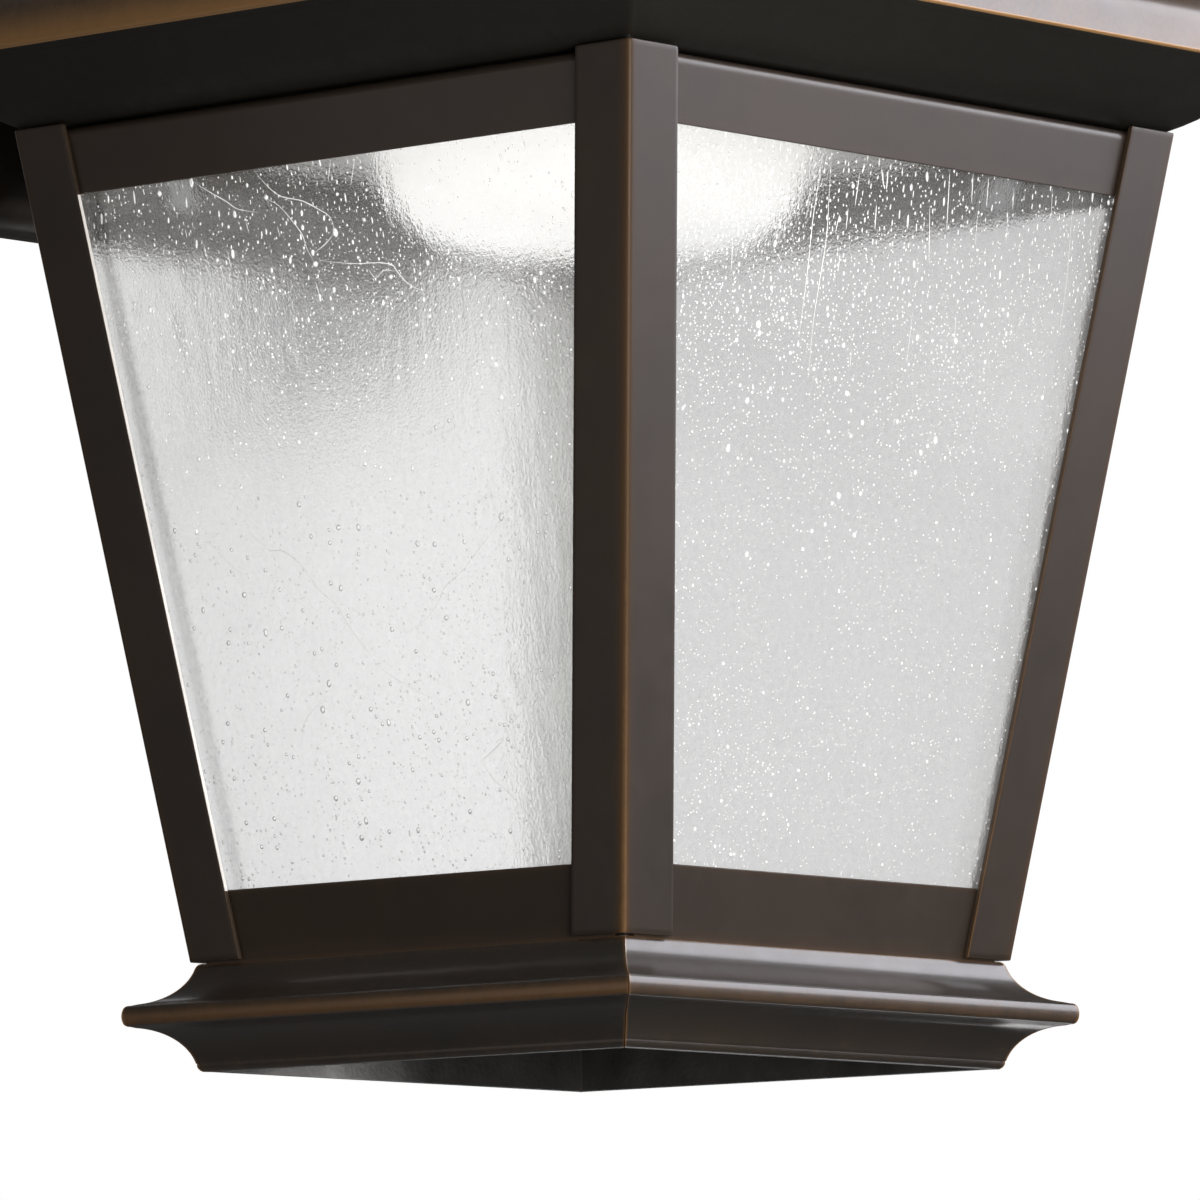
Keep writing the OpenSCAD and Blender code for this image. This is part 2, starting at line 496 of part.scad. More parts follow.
// Knurled cap nut with a domed end and a blind bore for the stud.
module cap_nut() rotate([90, 0, 0]) difference() {
  union() {
    cylinder(r = 8, h = 1.6);
    cylinder(r = 6.6, h = 7);
    translate([0, 0, 7]) cylinder(r = 4.8, h = 1.6);
    translate([0, 0, 12.6]) sphere(r = 5.6);
  }
  for (i = [0:17]) rotate([0, 0, i * 20]) translate([6.6, 0, 2.4]) rotate([0, 0, 45])
    translate([-0.45, -0.45, 0]) cube([0.9, 0.9, 3.8]);
  translate([0, 0, -1]) cylinder(r = 2.1, h = 11);
}
module cap_nut_left() color([0.30, 0.21, 0.13]) translate([-nut_pitch / 2, nut_y, 0]) cap_nut();
module cap_nut_right() color([0.30, 0.21, 0.13]) translate([nut_pitch / 2, nut_y, 0]) cap_nut();
module ground_screw() color([0.10, 0.45, 0.20]) translate([18, -bar_t, 5]) rotate([-90, 0, 0]) difference() {
  union() {
    translate([0, 0, -3]) cylinder(r = 4.2, h = 3, $fn = 6);
    translate([0, 0, -0.01]) cylinder(r = 1.7, h = bar_t + 0.01);
  }
  translate([-3, -0.5, -3.1]) cube([6, 1, 1]);
}
// Three-way terminal block on the inside of the plate.
tb_y = -plate_d + plate_t;
module terminal_block() color([0.88, 0.86, 0.78]) difference() {
  translate([-16, tb_y, 31]) cube([32, 11, 16]);
  for (x = [-9.5, 0, 9.5]) {
    translate([x, tb_y + 5.5, 30]) cylinder(r = 1.8, h = 8);
    translate([x, tb_y + 7, 39]) rotate([-90, 0, 0]) cylinder(r = 2, h = 6);
  }
  for (s = [-1, 1]) translate([s * 13.6, tb_y - 1, 39]) rotate([-90, 0, 0]) cylinder(r = 1.2, h = 14);
}
module terminal_screws() color(steel) {
  for (x = [-9.5, 0, 9.5]) translate([x, tb_y + 7.01, 39]) rotate([-90, 0, 0]) difference() {
    cylinder(r = 1.9, h = 2.6);
    translate([-3, -0.35, 1.6]) cube([6, 0.7, 2]);
  }
  for (s = [-1, 1]) translate([s * 13.6, tb_y + 11, 39]) rotate([90, 0, 0]) screw_up(1.15, 12.4, 1.9, 1.2);
}

corner_post_front_left();
corner_post_front_right();
corner_post_back_left();
corner_post_back_right();
top_rail_front();
top_rail_right();
top_rail_back();
top_rail_left();
bottom_rail_front();
bottom_rail_right();
bottom_rail_back();
bottom_rail_left();
glass_front();
glass_right();
glass_back();
glass_left();
glass_clips();
top_gussets();
bottom_gussets();
base_moulding_front();
base_moulding_right();
base_moulding_back();
base_moulding_left();
base_pan();
base_screws();
roof_shell();
roof_soffit();
roof_screws();
roof_cap();
roof_seal();
stem_pipe();
stem_washer();
stem_nut();
ceiling_tray();
heat_sink();
led_board();
led_chips();
board_screws();
opal_bowl();
bowl_ring();
led_driver();
driver_screws();
led_leads();
arm_tube();
arm_plug();
arm_boss();
boss_screws();
supply_lead();
wall_plate();
plate_seal();
crossbar();
plate_studs();
stud_nuts();
cap_nut_left();
cap_nut_right();
ground_screw();
terminal_block();
terminal_screws();
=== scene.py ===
import json
import math
import random

import bpy
import bmesh
import numpy as np
from mathutils import Vector, Matrix, noise


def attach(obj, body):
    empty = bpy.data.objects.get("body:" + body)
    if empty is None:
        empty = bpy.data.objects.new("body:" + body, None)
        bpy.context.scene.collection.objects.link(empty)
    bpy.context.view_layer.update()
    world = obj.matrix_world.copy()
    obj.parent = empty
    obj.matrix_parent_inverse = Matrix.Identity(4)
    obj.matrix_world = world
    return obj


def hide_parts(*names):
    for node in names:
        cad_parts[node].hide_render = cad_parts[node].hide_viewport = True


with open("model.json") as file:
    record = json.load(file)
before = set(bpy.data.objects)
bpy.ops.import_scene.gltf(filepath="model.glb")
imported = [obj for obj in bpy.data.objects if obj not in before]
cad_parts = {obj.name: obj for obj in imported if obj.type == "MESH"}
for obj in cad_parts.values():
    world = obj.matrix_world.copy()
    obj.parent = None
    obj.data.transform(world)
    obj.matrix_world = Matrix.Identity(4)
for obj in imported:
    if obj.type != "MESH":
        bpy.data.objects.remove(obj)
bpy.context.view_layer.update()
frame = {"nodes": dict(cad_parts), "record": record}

scene = bpy.context.scene

# ------------------------------------------------------------------ camera
# The lantern's own axis and the bottom of its glass, in the row frame (metres).
AX = Vector((0.0, -0.150, -0.288))
MM = 0.001


def L(p):
    """A point in the lantern's own frame (mm, z = 0 at the bottom of the glass) to the row frame (m)."""
    return (p[0] * MM + AX.x, p[1] * MM + AX.y, p[2] * MM + AX.z)


cam_data = bpy.data.cameras.new("camera")
cam = bpy.data.objects.new("camera", cam_data)
scene.collection.objects.link(cam)
right = Vector((0.66746639, -0.74461397, -0.00621725))
upv = Vector((-0.07401324, -0.07464828, 0.99445949))
view_dir = Vector((0.74095253, 0.66330813, 0.10493651))
m = Matrix((right, upv, -view_dir)).transposed().to_4x4()
m.translation = Vector(L((-1784.117, -1597.492, -179.272)))
cam.matrix_world = m
cam_data.sensor_width = 36.0
cam_data.lens = 9655.99 / 1200 * 36.0
cam_data.clip_start = 0.05
cam_data.clip_end = 60
scene.camera = cam

# ------------------------------------------------------------------ dimensions (mm, lantern frame)
LEAN = 0.1477
ALPHA = math.atan(LEAN)
Z0, Z1 = -16.9, 191.4
LEG, SHEET = 17.4, 1.5


def wh(z):
    return 75 + LEAN * z


def up(z):
    return z / math.cos(ALPHA)


def wf(v):
    return 75 + math.sin(ALPHA) * v


def arc(cx, cy, r, a0, a1, n):
    return [(cx + r * math.cos(math.radians(a0 + (a1 - a0) * i / n)),
             cy + r * math.sin(math.radians(a0 + (a1 - a0) * i / n))) for i in range(n + 1)]


def rot(p, k):
    """Turns a point about the lantern's axis by k quarter turns."""
    x, y = p[0], p[1]
    for _ in range(k % 4):
        x, y = -y, x
    return (x, y, p[2])


def on_face(p, k):
    """From one leaning face's own frame (x along, y inward, z up the face) to the lantern frame."""
    x, y, z = p
    c, s = math.cos(ALPHA), math.sin(ALPHA)
    return rot((x, -75 + y * c - z * s, y * s + z * c), k)


# ------------------------------------------------------------------ materials
def nodes_of(name):
    mat = bpy.data.materials.new(name)
    mat.use_nodes = True
    nt = mat.node_tree
    nt.nodes.clear()
    out = nt.nodes.new("ShaderNodeOutputMaterial")
    b = nt.nodes.new("ShaderNodeBsdfPrincipled")
    nt.links.new(b.outputs[0], out.inputs["Surface"])
    return mat, nt, b, out


def node(nt, kind, inputs=None, **props):
    n = nt.nodes.new(kind)
    for k, v in props.items():
        setattr(n, k, v)
    for k, v in (inputs or {}).items():
        n.inputs[k].default_value = v
    return n


def coords(nt, scale=(1, 1, 1)):
    t = node(nt, "ShaderNodeTexCoord")
    if tuple(scale) == (1, 1, 1):
        return t.outputs["Object"]
    mp = node(nt, "ShaderNodeMapping")
    mp.inputs["Scale"].default_value = scale
    nt.links.new(t.outputs["Object"], mp.inputs["Vector"])
    return mp.outputs["Vector"]


def noise_tex(nt, vec, scale, detail=3.0, rough=0.55, distortion=0.0):
    n = node(nt, "ShaderNodeTexNoise", {"Scale": scale, "Detail": detail, "Roughness": rough, "Distortion": distortion})
    nt.links.new(vec, n.inputs["Vector"])
    return n.outputs["Fac"]


def ramp(nt, fac, stops, interpolation="LINEAR"):
    r = node(nt, "ShaderNodeValToRGB")
    r.color_ramp.interpolation = interpolation
    el = r.color_ramp.elements
    while len(el) < len(stops):
        el.new(0.5)
    for e, (pos, col) in zip(el, stops):
        e.position = pos
        e.color = (*col, 1) if len(col) == 3 else col
    nt.links.new(fac, r.inputs["Fac"])
    return r.outputs["Color"]


def math_node(nt, op, a, b=None, clamp=False):
    n = node(nt, "ShaderNodeMath", operation=op, use_clamp=clamp)
    for i, v in enumerate((a, b)):
        if v is None:
            continue
        if isinstance(v, (int, float)):
            n.inputs[i].default_value = v
        else:
            nt.links.new(v, n.inputs[i])
    return n.outputs[0]


def map_range(nt, v, a, b, c, d):
    n = node(nt, "ShaderNodeMapRange", {"From Min": a, "From Max": b, "To Min": c, "To Max": d})
    nt.links.new(v, n.inputs["Value"])
    return n.outputs["Result"]


def mix_col(nt, fac, a, b):
    n = node(nt, "ShaderNodeMix", data_type="RGBA")
    for sock, v in ((n.inputs["Factor"], fac), (n.inputs["A"], a), (n.inputs["B"], b)):
        if hasattr(v, "is_output"):
            nt.links.new(v, sock)
        elif isinstance(v, (int, float)):
            sock.default_value = v
        else:
            sock.default_value = (*v, 1)
    return n.outputs["Result"]


def bump(nt, height, strength, dist, normal=None):
    n = node(nt, "ShaderNodeBump", {"Strength": strength, "Distance": dist})
    nt.links.new(height, n.inputs["Height"])
    if normal is not None:
        nt.links.new(normal, n.inputs["Normal"])
    return n.outputs["Normal"]


def bronze(name, dark=(0.036, 0.027, 0.020), brown=(0.105, 0.062, 0.034), rough=(0.36, 0.46), metal=0.12,
           copper=(0.44, 0.245, 0.105), ragged=0.5, coat=0.0, coat_rough=0.2, grain=0.00006, spec=0.5, shine=(1.0, 0.93, 0.94), patch=0.18,
           rub_rough=0.05, rub_metal=0.55, rub_dull=0.0):
    """Oil-rubbed bronze: a dark satin finish with a fine grain. The wear attribute turns it brown, then rubs it through to copper."""
    mat, nt, b, _ = nodes_of(name)
    vec = coords(nt)
    big = noise_tex(nt, vec, 22, 3, 0.6)
    mid = noise_tex(nt, vec, 170, 4, 0.65)
    fine = noise_tex(nt, vec, 1500, 2, 0.6)
    speck = noise_tex(nt, vec, 700, 3, 0.75)
    at = node(nt, "ShaderNodeAttribute", attribute_name="wear")
    # the attribute is the tendency to wear, two noises break it up
    brk = math_node(nt, "ADD", math_node(nt, "MULTIPLY", mid, 0.55), math_node(nt, "MULTIPLY", speck, 0.45))
    w = math_node(nt, "ADD", at.outputs["Fac"], math_node(nt, "MULTIPLY", math_node(nt, "SUBTRACT", brk, 0.5), ragged))
    halo = map_range(nt, w, 0.02, 0.50, 0.0, 1.0)
    rub = map_range(nt, w, 0.50, 1.0, 0.0, 1.0)
    mid_tone = tuple((1 - patch) * d + patch * c for d, c in zip(dark, brown))
    base = ramp(nt, big, [(0.35, dark), (0.72, mid_tone)])
    base = mix_col(nt, halo, base, brown)
    col = mix_col(nt, rub, base, copper)
    nt.links.new(col, b.inputs["Base Color"])
    r = map_range(nt, mid, 0.3, 0.7, rough[0], rough[1])
    nt.links.new(math_node(nt, "ADD", r, math_node(nt, "MULTIPLY", rub, rub_rough)), b.inputs["Roughness"])
    nt.links.new(map_range(nt, rub, 0.0, 1.0, metal, rub_metal), b.inputs["Metallic"])
    h = math_node(nt, "ADD", math_node(nt, "MULTIPLY", fine, 0.6), math_node(nt, "MULTIPLY", mid, 0.4))
    nt.links.new(bump(nt, h, 0.35, grain), b.inputs["Normal"])
    b.inputs["Specular IOR Level"].default_value = spec
    b.inputs["Specular Tint"].default_value = (*shine, 1)
    b.inputs["Coat Weight"].default_value = coat
    if rub_dull:
        nt.links.new(map_range(nt, halo, 0.0, 1.0, spec, spec * (1 - rub_dull)), b.inputs["Specular IOR Level"])
        nt.links.new(map_range(nt, halo, 0.0, 1.0, coat, 0.0), b.inputs["Coat Weight"])
    b.inputs["Coat Roughness"].default_value = coat_rough
    return mat


def plain(name, col, rough=(0.4, 0.5), metal=0.0, grain_scale=900, grain=0.00004, var=0.06, aniso=None, strength=0.3):
    """A clean painted, plated or moulded surface with fine grain and slight mottling."""
    mat, nt, b, _ = nodes_of(name)
    vec = coords(nt, aniso or (1, 1, 1))
    mott = noise_tex(nt, vec, 60, 3)
    fine = noise_tex(nt, vec, grain_scale, 2)
    lo = tuple(max(0, c * (1 - var)) for c in col)
    hi = tuple(min(1, c * (1 + var)) for c in col)
    nt.links.new(ramp(nt, mott, [(0.3, lo), (0.7, hi)]), b.inputs["Base Color"])
    nt.links.new(map_range(nt, mott, 0.3, 0.7, rough[0], rough[1]), b.inputs["Roughness"])
    nt.links.new(bump(nt, fine, strength, grain), b.inputs["Normal"])
    b.inputs["Metallic"].default_value = metal
    return mat


def node_y(nt):
    """The y of the point, in the row frame's metres."""
    sep = node(nt, "ShaderNodeSeparateXYZ")
    nt.links.new(coords(nt), sep.inputs[0])
    return sep.outputs["Y"]


def seeded_glass(name, tint, wall_shade=1.0, top=1.0, edge=0.0):
    """Clear glass with a gentle roll and fine vertical striae; the seeds themselves are geometry."""
    mat, nt, b, out = nodes_of(name)
    vec = coords(nt)
    roll = noise_tex(nt, coords(nt, (1, 1, 0.5)), 55, 2, 0.5, 0.4)
    stria = noise_tex(nt, coords(nt, (1, 1, 0.12)), 420, 2, 0.5)
    grain = noise_tex(nt, vec, 1250, 2, 0.6)
    h = math_node(nt, "ADD", math_node(nt, "MULTIPLY", roll, 0.25), math_node(nt, "MULTIPLY", stria, 0.035))
    h = math_node(nt, "ADD", h, math_node(nt, "MULTIPLY", grain, 0.045))
    nt.links.new(bump(nt, h, 1.0, 0.001), b.inputs["Normal"])
    # a faint mottle of the tint, and a slow fall towards the wall, which is painted shade
    mott = noise_tex(nt, vec, 620, 3, 0.7)
    painted_wall_shade = map_range(nt, math_node(nt, "ADD", node_y(nt), math_node(nt, "MULTIPLY", roll, 0.05)), -0.125, -0.065, 1.0, wall_shade)
    k = math_node(nt, "MULTIPLY", map_range(nt, mott, 0.30, 0.70, tint * 0.955, min(1.0, tint * 1.045)), painted_wall_shade)
    if edge:
        # a faint grey strip inside the pane's far edge: painted shade that stands in for the far post seen through the
        # glass
        sep = node(nt, "ShaderNodeSeparateXYZ")
        nt.links.new(vec, sep.inputs[0])
        d = math_node(nt, "SUBTRACT", math_node(nt, "MULTIPLY", sep.outputs["Z"], LEAN), sep.outputs["Y"])
        d = math_node(nt, "ADD", d, 0.075 + LEAN * 0.288 - 0.150 - 0.0191)
        d = math_node(nt, "DIVIDE", math_node(nt, "ADD", d, math_node(nt, "MULTIPLY", math_node(nt, "SUBTRACT", mott, 0.5), 0.003)), 0.0017)
        g = math_node(nt, "EXPONENT", math_node(nt, "MULTIPLY", math_node(nt, "MULTIPLY", d, d), -1.0))
        g = math_node(nt, "MULTIPLY", g, map_range(nt, sep.outputs["Z"], -0.25, -0.16, edge, min(1.0, 1.6 * edge)))
        k = math_node(nt, "MULTIPLY", k, math_node(nt, "SUBTRACT", 1.0, g))
    # the tint darkens towards the top of the pane
    if top < 1:
        sep = node(nt, "ShaderNodeSeparateXYZ")
        nt.links.new(vec, sep.inputs[0])
        k = math_node(nt, "MULTIPLY", k, map_range(nt, sep.outputs["Z"], -0.175, -0.130, 1.0, top))
    grey = node(nt, "ShaderNodeCombineColor")
    for s in ("Red", "Green", "Blue"):
        nt.links.new(k, grey.inputs[s])
    nt.links.new(grey.outputs["Color"], b.inputs["Base Color"])
    b.inputs["Roughness"].default_value = 0.06
    b.inputs["IOR"].default_value = 1.5
    b.inputs["Transmission Weight"].default_value = 0.96
    tr = node(nt, "ShaderNodeBsdfTransparent")
    tr.inputs["Color"].default_value = (0.93, 0.94, 0.94, 1)
    lp = node(nt, "ShaderNodeLightPath")
    mx = node(nt, "ShaderNodeMixShader")
    nt.links.new(lp.outputs["Is Shadow Ray"], mx.inputs["Fac"])
    nt.links.new(b.outputs[0], mx.inputs[1])
    nt.links.new(tr.outputs[0], mx.inputs[2])
    nt.links.new(mx.outputs[0], out.inputs["Surface"])
    return mat


def seed_wall(name, painted_glow):
    """The wall of a bubble in the glass: it bends light and carries a painted glow, standing in for the light the bowl
    sends into the pane.
    """
    mat, nt, b, out = nodes_of(name)
    b.inputs["Base Color"].default_value = (1, 1, 1, 1)
    b.inputs["Roughness"].default_value = 0.10
    b.inputs["IOR"].default_value = 1.5
    b.inputs["Transmission Weight"].default_value = 1.0
    b.inputs["Emission Color"].default_value = (1.0, 0.99, 0.97, 1)
    b.inputs["Emission Strength"].default_value = painted_glow
    see = node(nt, "ShaderNodeBsdfTransparent")
    lp = node(nt, "ShaderNodeLightPath")
    mx = node(nt, "ShaderNodeMixShader")
    nt.links.new(lp.outputs["Is Shadow Ray"], mx.inputs["Fac"])
    nt.links.new(b.outputs[0], mx.inputs[1])
    nt.links.new(see.outputs[0], mx.inputs[2])
    nt.links.new(mx.outputs[0], out.inputs["Surface"])
    return mat


def opal(name):
    mat, nt, b, _ = nodes_of(name)
    vec = coords(nt)
    mott = noise_tex(nt, vec, 30, 2)
    fine = noise_tex(nt, vec, 900, 2)
    nt.links.new(ramp(nt, mott, [(0.3, (0.80, 0.80, 0.795)), (0.7, (0.84, 0.84, 0.835))]), b.inputs["Base Color"])
    nt.links.new(bump(nt, fine, 0.2, 0.00003), b.inputs["Normal"])
    b.inputs["Roughness"].default_value = 0.32
    b.inputs["Emission Color"].default_value = (1.0, 0.99, 0.97, 1)
    b.inputs["Emission Strength"].default_value = 0.62
    return mat


M_POST = bronze("bronze_post", ragged=0.22, coat=0.10, coat_rough=0.20, spec=0.57, rub_rough=0.22, rub_metal=0.35, rub_dull=0.85)
# a copy with weaker reflection for the front-right post: painted shade
M_POST_SHADED = bronze("bronze_post_painted_shade", ragged=0.22, coat=0.10, coat_rough=0.20, spec=0.42, rub_rough=0.22, rub_metal=0.35, rub_dull=0.85)
# the wall plate's darker, duller copy of the bronze: painted shade
M_PLATE_SHADED = bronze("bronze_plate_painted_shade", dark=(0.020, 0.0165, 0.013), brown=(0.060, 0.036, 0.020), rough=(0.40, 0.50), ragged=0.22, spec=0.20)
M_RAIL_LOW = bronze("bronze_rail_low", ragged=0.22, spec=0.34)
M_RAIL_TOP = bronze("bronze_rail_top", ragged=0.22, coat=0.42, coat_rough=0.11)
M_CAST = bronze("bronze_cast", dark=(0.034, 0.029, 0.024), brown=(0.170, 0.088, 0.034), rough=(0.34, 0.44), ragged=0.45, patch=0.08,
                coat=0.55, coat_rough=0.16, grain=0.00002)
M_ROOF = bronze("bronze_roof", dark=(0.048, 0.041, 0.037), brown=(0.420, 0.220, 0.076), rough=(0.34, 0.44), ragged=0.25,
                coat=0.60, coat_rough=0.20, grain=0.00002)
# the darkest copy of the bronze, for the underside of the roof: painted shade
M_SOFFIT_SHADED = bronze("bronze_soffit_painted_shade", dark=(0.0140, 0.0134, 0.0108), brown=(0.026, 0.021, 0.016), rough=(0.42, 0.55), metal=0.0,
                  ragged=0.1, spec=0.35)
M_LIT_INNER = plain("inner_primer_painted_light", (0.74, 0.74, 0.73), (0.30, 0.45), 0.3, 500, 0.00006, 0.12)
M_SHADED_INNER = plain("inner_primer_painted_shade", (0.36, 0.34, 0.325), (0.40, 0.55), 0.2, 500, 0.00006, 0.12)
# the bare cut edge is pale, and its small glow is a painted highlight
M_CUT_GLOW = plain("bare_cut_edge_painted_highlight", (0.84, 0.81, 0.78), (0.35, 0.50), 0.0, 300, 0.0001, 0.16)
M_CUT_GLOW.node_tree.nodes["Principled BSDF"].inputs["Emission Color"].default_value = (1, 0.98, 0.95, 1)
M_CUT_GLOW.node_tree.nodes["Principled BSDF"].inputs["Emission Strength"].default_value = 0.16
M_SAND = plain("bronze_sand_cast", (0.100, 0.097, 0.095), (0.5, 0.7), 0.5, 700, 0.00035, 0.35, strength=0.8)
# the panes are one glass in lit and shaded copies: the darker tint of the front and right panes is painted shade
M_GLASS = seeded_glass("seeded_glass", 0.91)
M_GLASS_L = seeded_glass("seeded_glass_l", 0.93, 0.92, 1.0, 0.28)
M_GLASS_SHADED = seeded_glass("seeded_glass_painted_shade", 0.825, 1.0, 0.93)
# bubble walls in three strengths of painted glow
M_SEED = seed_wall("seed_wall", 0.40)
M_SEED_SOFT = seed_wall("seed_wall_soft", 0.12)
M_SEED_MID = seed_wall("seed_wall_mid", 0.23)
M_OPAL = opal("opal_acrylic")
M_WHITE = plain("white_enamel", (0.80, 0.80, 0.79), (0.35, 0.5))
M_ZINC = plain("zinc_plate", (0.60, 0.61, 0.62), (0.25, 0.45), 0.95, 500, 0.00005, 0.12)
M_BRASS = plain("brass", (0.66, 0.50, 0.22), (0.22, 0.38), 1.0, 500, 0.00004, 0.10)
M_RUBBER = plain("black_rubber", (0.022, 0.022, 0.022), (0.6, 0.8), 0.0, 800, 0.0001, 0.2)
M_ALU = plain("aluminium", (0.72, 0.73, 0.75), (0.3, 0.45), 0.95, 400, 0.00005, 0.08, aniso=(1, 6, 6))
M_BOARD = plain("board_white", (0.78, 0.80, 0.77), (0.3, 0.4))
M_CHIP = plain("chip_phosphor", (0.85, 0.62, 0.12), (0.2, 0.3))
M_CASE = plain("driver_case", (0.74, 0.74, 0.71), (0.45, 0.6), 0.0, 500, 0.00008)
M_RED = plain("red_insulation", (0.45, 0.03, 0.025), (0.35, 0.45))
M_SHEATH = plain("lead_sheath", (0.66, 0.66, 0.63), (0.4, 0.5))
M_GREEN = plain("green_screw", (0.03, 0.22, 0.07), (0.3, 0.4), 0.3)
M_CREAM = plain("terminal_cream", (0.70, 0.66, 0.52), (0.35, 0.5))
MATS = {
    "bronze": M_POST, "bronze_cast": M_CAST, "seeded_glass": M_GLASS, "zinc_steel": M_ZINC, "brass": M_BRASS,
    "black_rubber": M_RUBBER, "white_enamel": M_WHITE, "bare_aluminium": M_ALU, "board_white": M_BOARD,
    "chip_yellow": M_CHIP, "opal": M_OPAL, "driver_case": M_CASE, "lead_red": M_RED, "lead_sheath": M_SHEATH,
    "ground_green": M_GREEN, "terminal_cream": M_CREAM,
}
SLOT_OF = {s["node"]: s["material_slot"] for s in frame["record"]["subparts"]}
for name, ob in frame["nodes"].items():
    mat = MATS[SLOT_OF[name]]
    if name in ("base_pan", "top_gussets", "bottom_gussets"):
        mat = M_SAND
    ob.data.materials.clear()
    ob.data.materials.append(mat)


# ------------------------------------------------------------------ mesh helpers
def make(name, verts, faces, mat, replaces, body="lantern", wear=None, angle=38, lantern=True, to_row=None):
    """A closed mesh piece. wear is one number a vertex, for the rubbed-through finish."""
    me = bpy.data.meshes.new(name)
    if to_row is None:
        to_row = L if lantern else (lambda p: (p[0] * MM, p[1] * MM, p[2] * MM))
    me.from_pydata([to_row(v) for v in verts], [], faces)
    bm = bmesh.new()
    bm.from_mesh(me)
    bmesh.ops.recalc_face_normals(bm, faces=bm.faces)
    bm.to_mesh(me)
    bm.free()
    me.materials.append(mat)
    if wear is not None:
        at = me.attributes.new("wear", "FLOAT", "POINT")
        at.data.foreach_set("value", np.array(wear, np.float32))
    for p in me.polygons:
        p.use_smooth = True
    me.set_sharp_from_angle(angle=math.radians(angle))
    ob = bpy.data.objects.new(name, me)
    scene.collection.objects.link(ob)
    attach(ob, body)
    if replaces:
        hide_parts(*([replaces] if isinstance(replaces, str) else replaces))
    return ob


def loft(rings, closed_profile=True, cap=False):
    """Faces between rings of equal length, each a closed loop."""
    n = len(rings[0])
    faces = []
    last = len(rings) if closed_profile else len(rings) - 1
    for i in range(last):
        j = (i + 1) % len(rings)
        for a in range(n):
            b = (a + 1) % n
            faces.append((i * n + a, i * n + b, j * n + b, j * n + a))
    if cap:
        faces.append(tuple(range(n)))
        faces.append(tuple((len(rings) - 1) * n + a for a in range(n)))
    return faces


def square_ring(h, z, rc, steps=(0, 0.7, 1.8, 4, 9, 20), na=3):
    """Points round a square of half-width h with corner radius rc, and each point's distance from its corner."""
    rc = min(rc, h * 0.45)
    run = h - rc
    d = [min(s, run * 0.98 * (i + 0.0) / len(steps)) if s > run * 0.9 * i / len(steps) else s for i, s in enumerate(steps)]
    t = [-run + x for x in d] + [0.0] + [run - x for x in reversed(d)]
    pts, dist = [], []
    for k in range(4):
        for x in t:
            pts.append(rot((x, -h, z), k))
            dist.append(h - abs(x) - rc if abs(x) <= run else 0)
        for i in range(1, na):
            a = math.radians(-90 + 90 * i / na)
            pts.append(rot((run + rc * math.cos(a), -run + rc * math.sin(a), z), k))
            dist.append(0.0)
    return pts, [max(0.0, x) for x in dist]


def sweep_square(name, profile, mat, replaces, rc=0.8, steps=(0, 0.7, 1.8, 4, 9, 20), hip=2.2, hip_gain=0.6,
                 lantern=True, angle=38, to_row=None, na=3):
    """profile: closed loop of (half-width, z, wear). Wear along the hips is added on convex outer points (wear >= 0)."""
    verts, wear, rings = [], [], []
    for h, z, w in profile:
        pts, dist = square_ring(h, z, rc, steps, na)
        rings.append(pts)
        verts += pts
        for d in dist:
            wear.append(0.0 if w < 0 else min(1.0, w + hip_gain * math.exp(-(d / hip) ** 2)))
    return make(name, verts, loft(rings), mat, replaces, wear=wear, lantern=lantern, angle=angle, to_row=to_row)


def dense(pts, step):
    """Adds points along straight stretches longer than step. Each point is a tuple and is interpolated whole."""
    out = []
    for a, b in zip(pts, pts[1:]):
        n = max(1, int(math.ceil(math.dist(a[:2], b[:2]) / step)))
        for i in range(n):
            out.append(tuple(x + (y - x) * i / n for x, y in zip(a, b)))
    out.append(pts[-1])
    return out


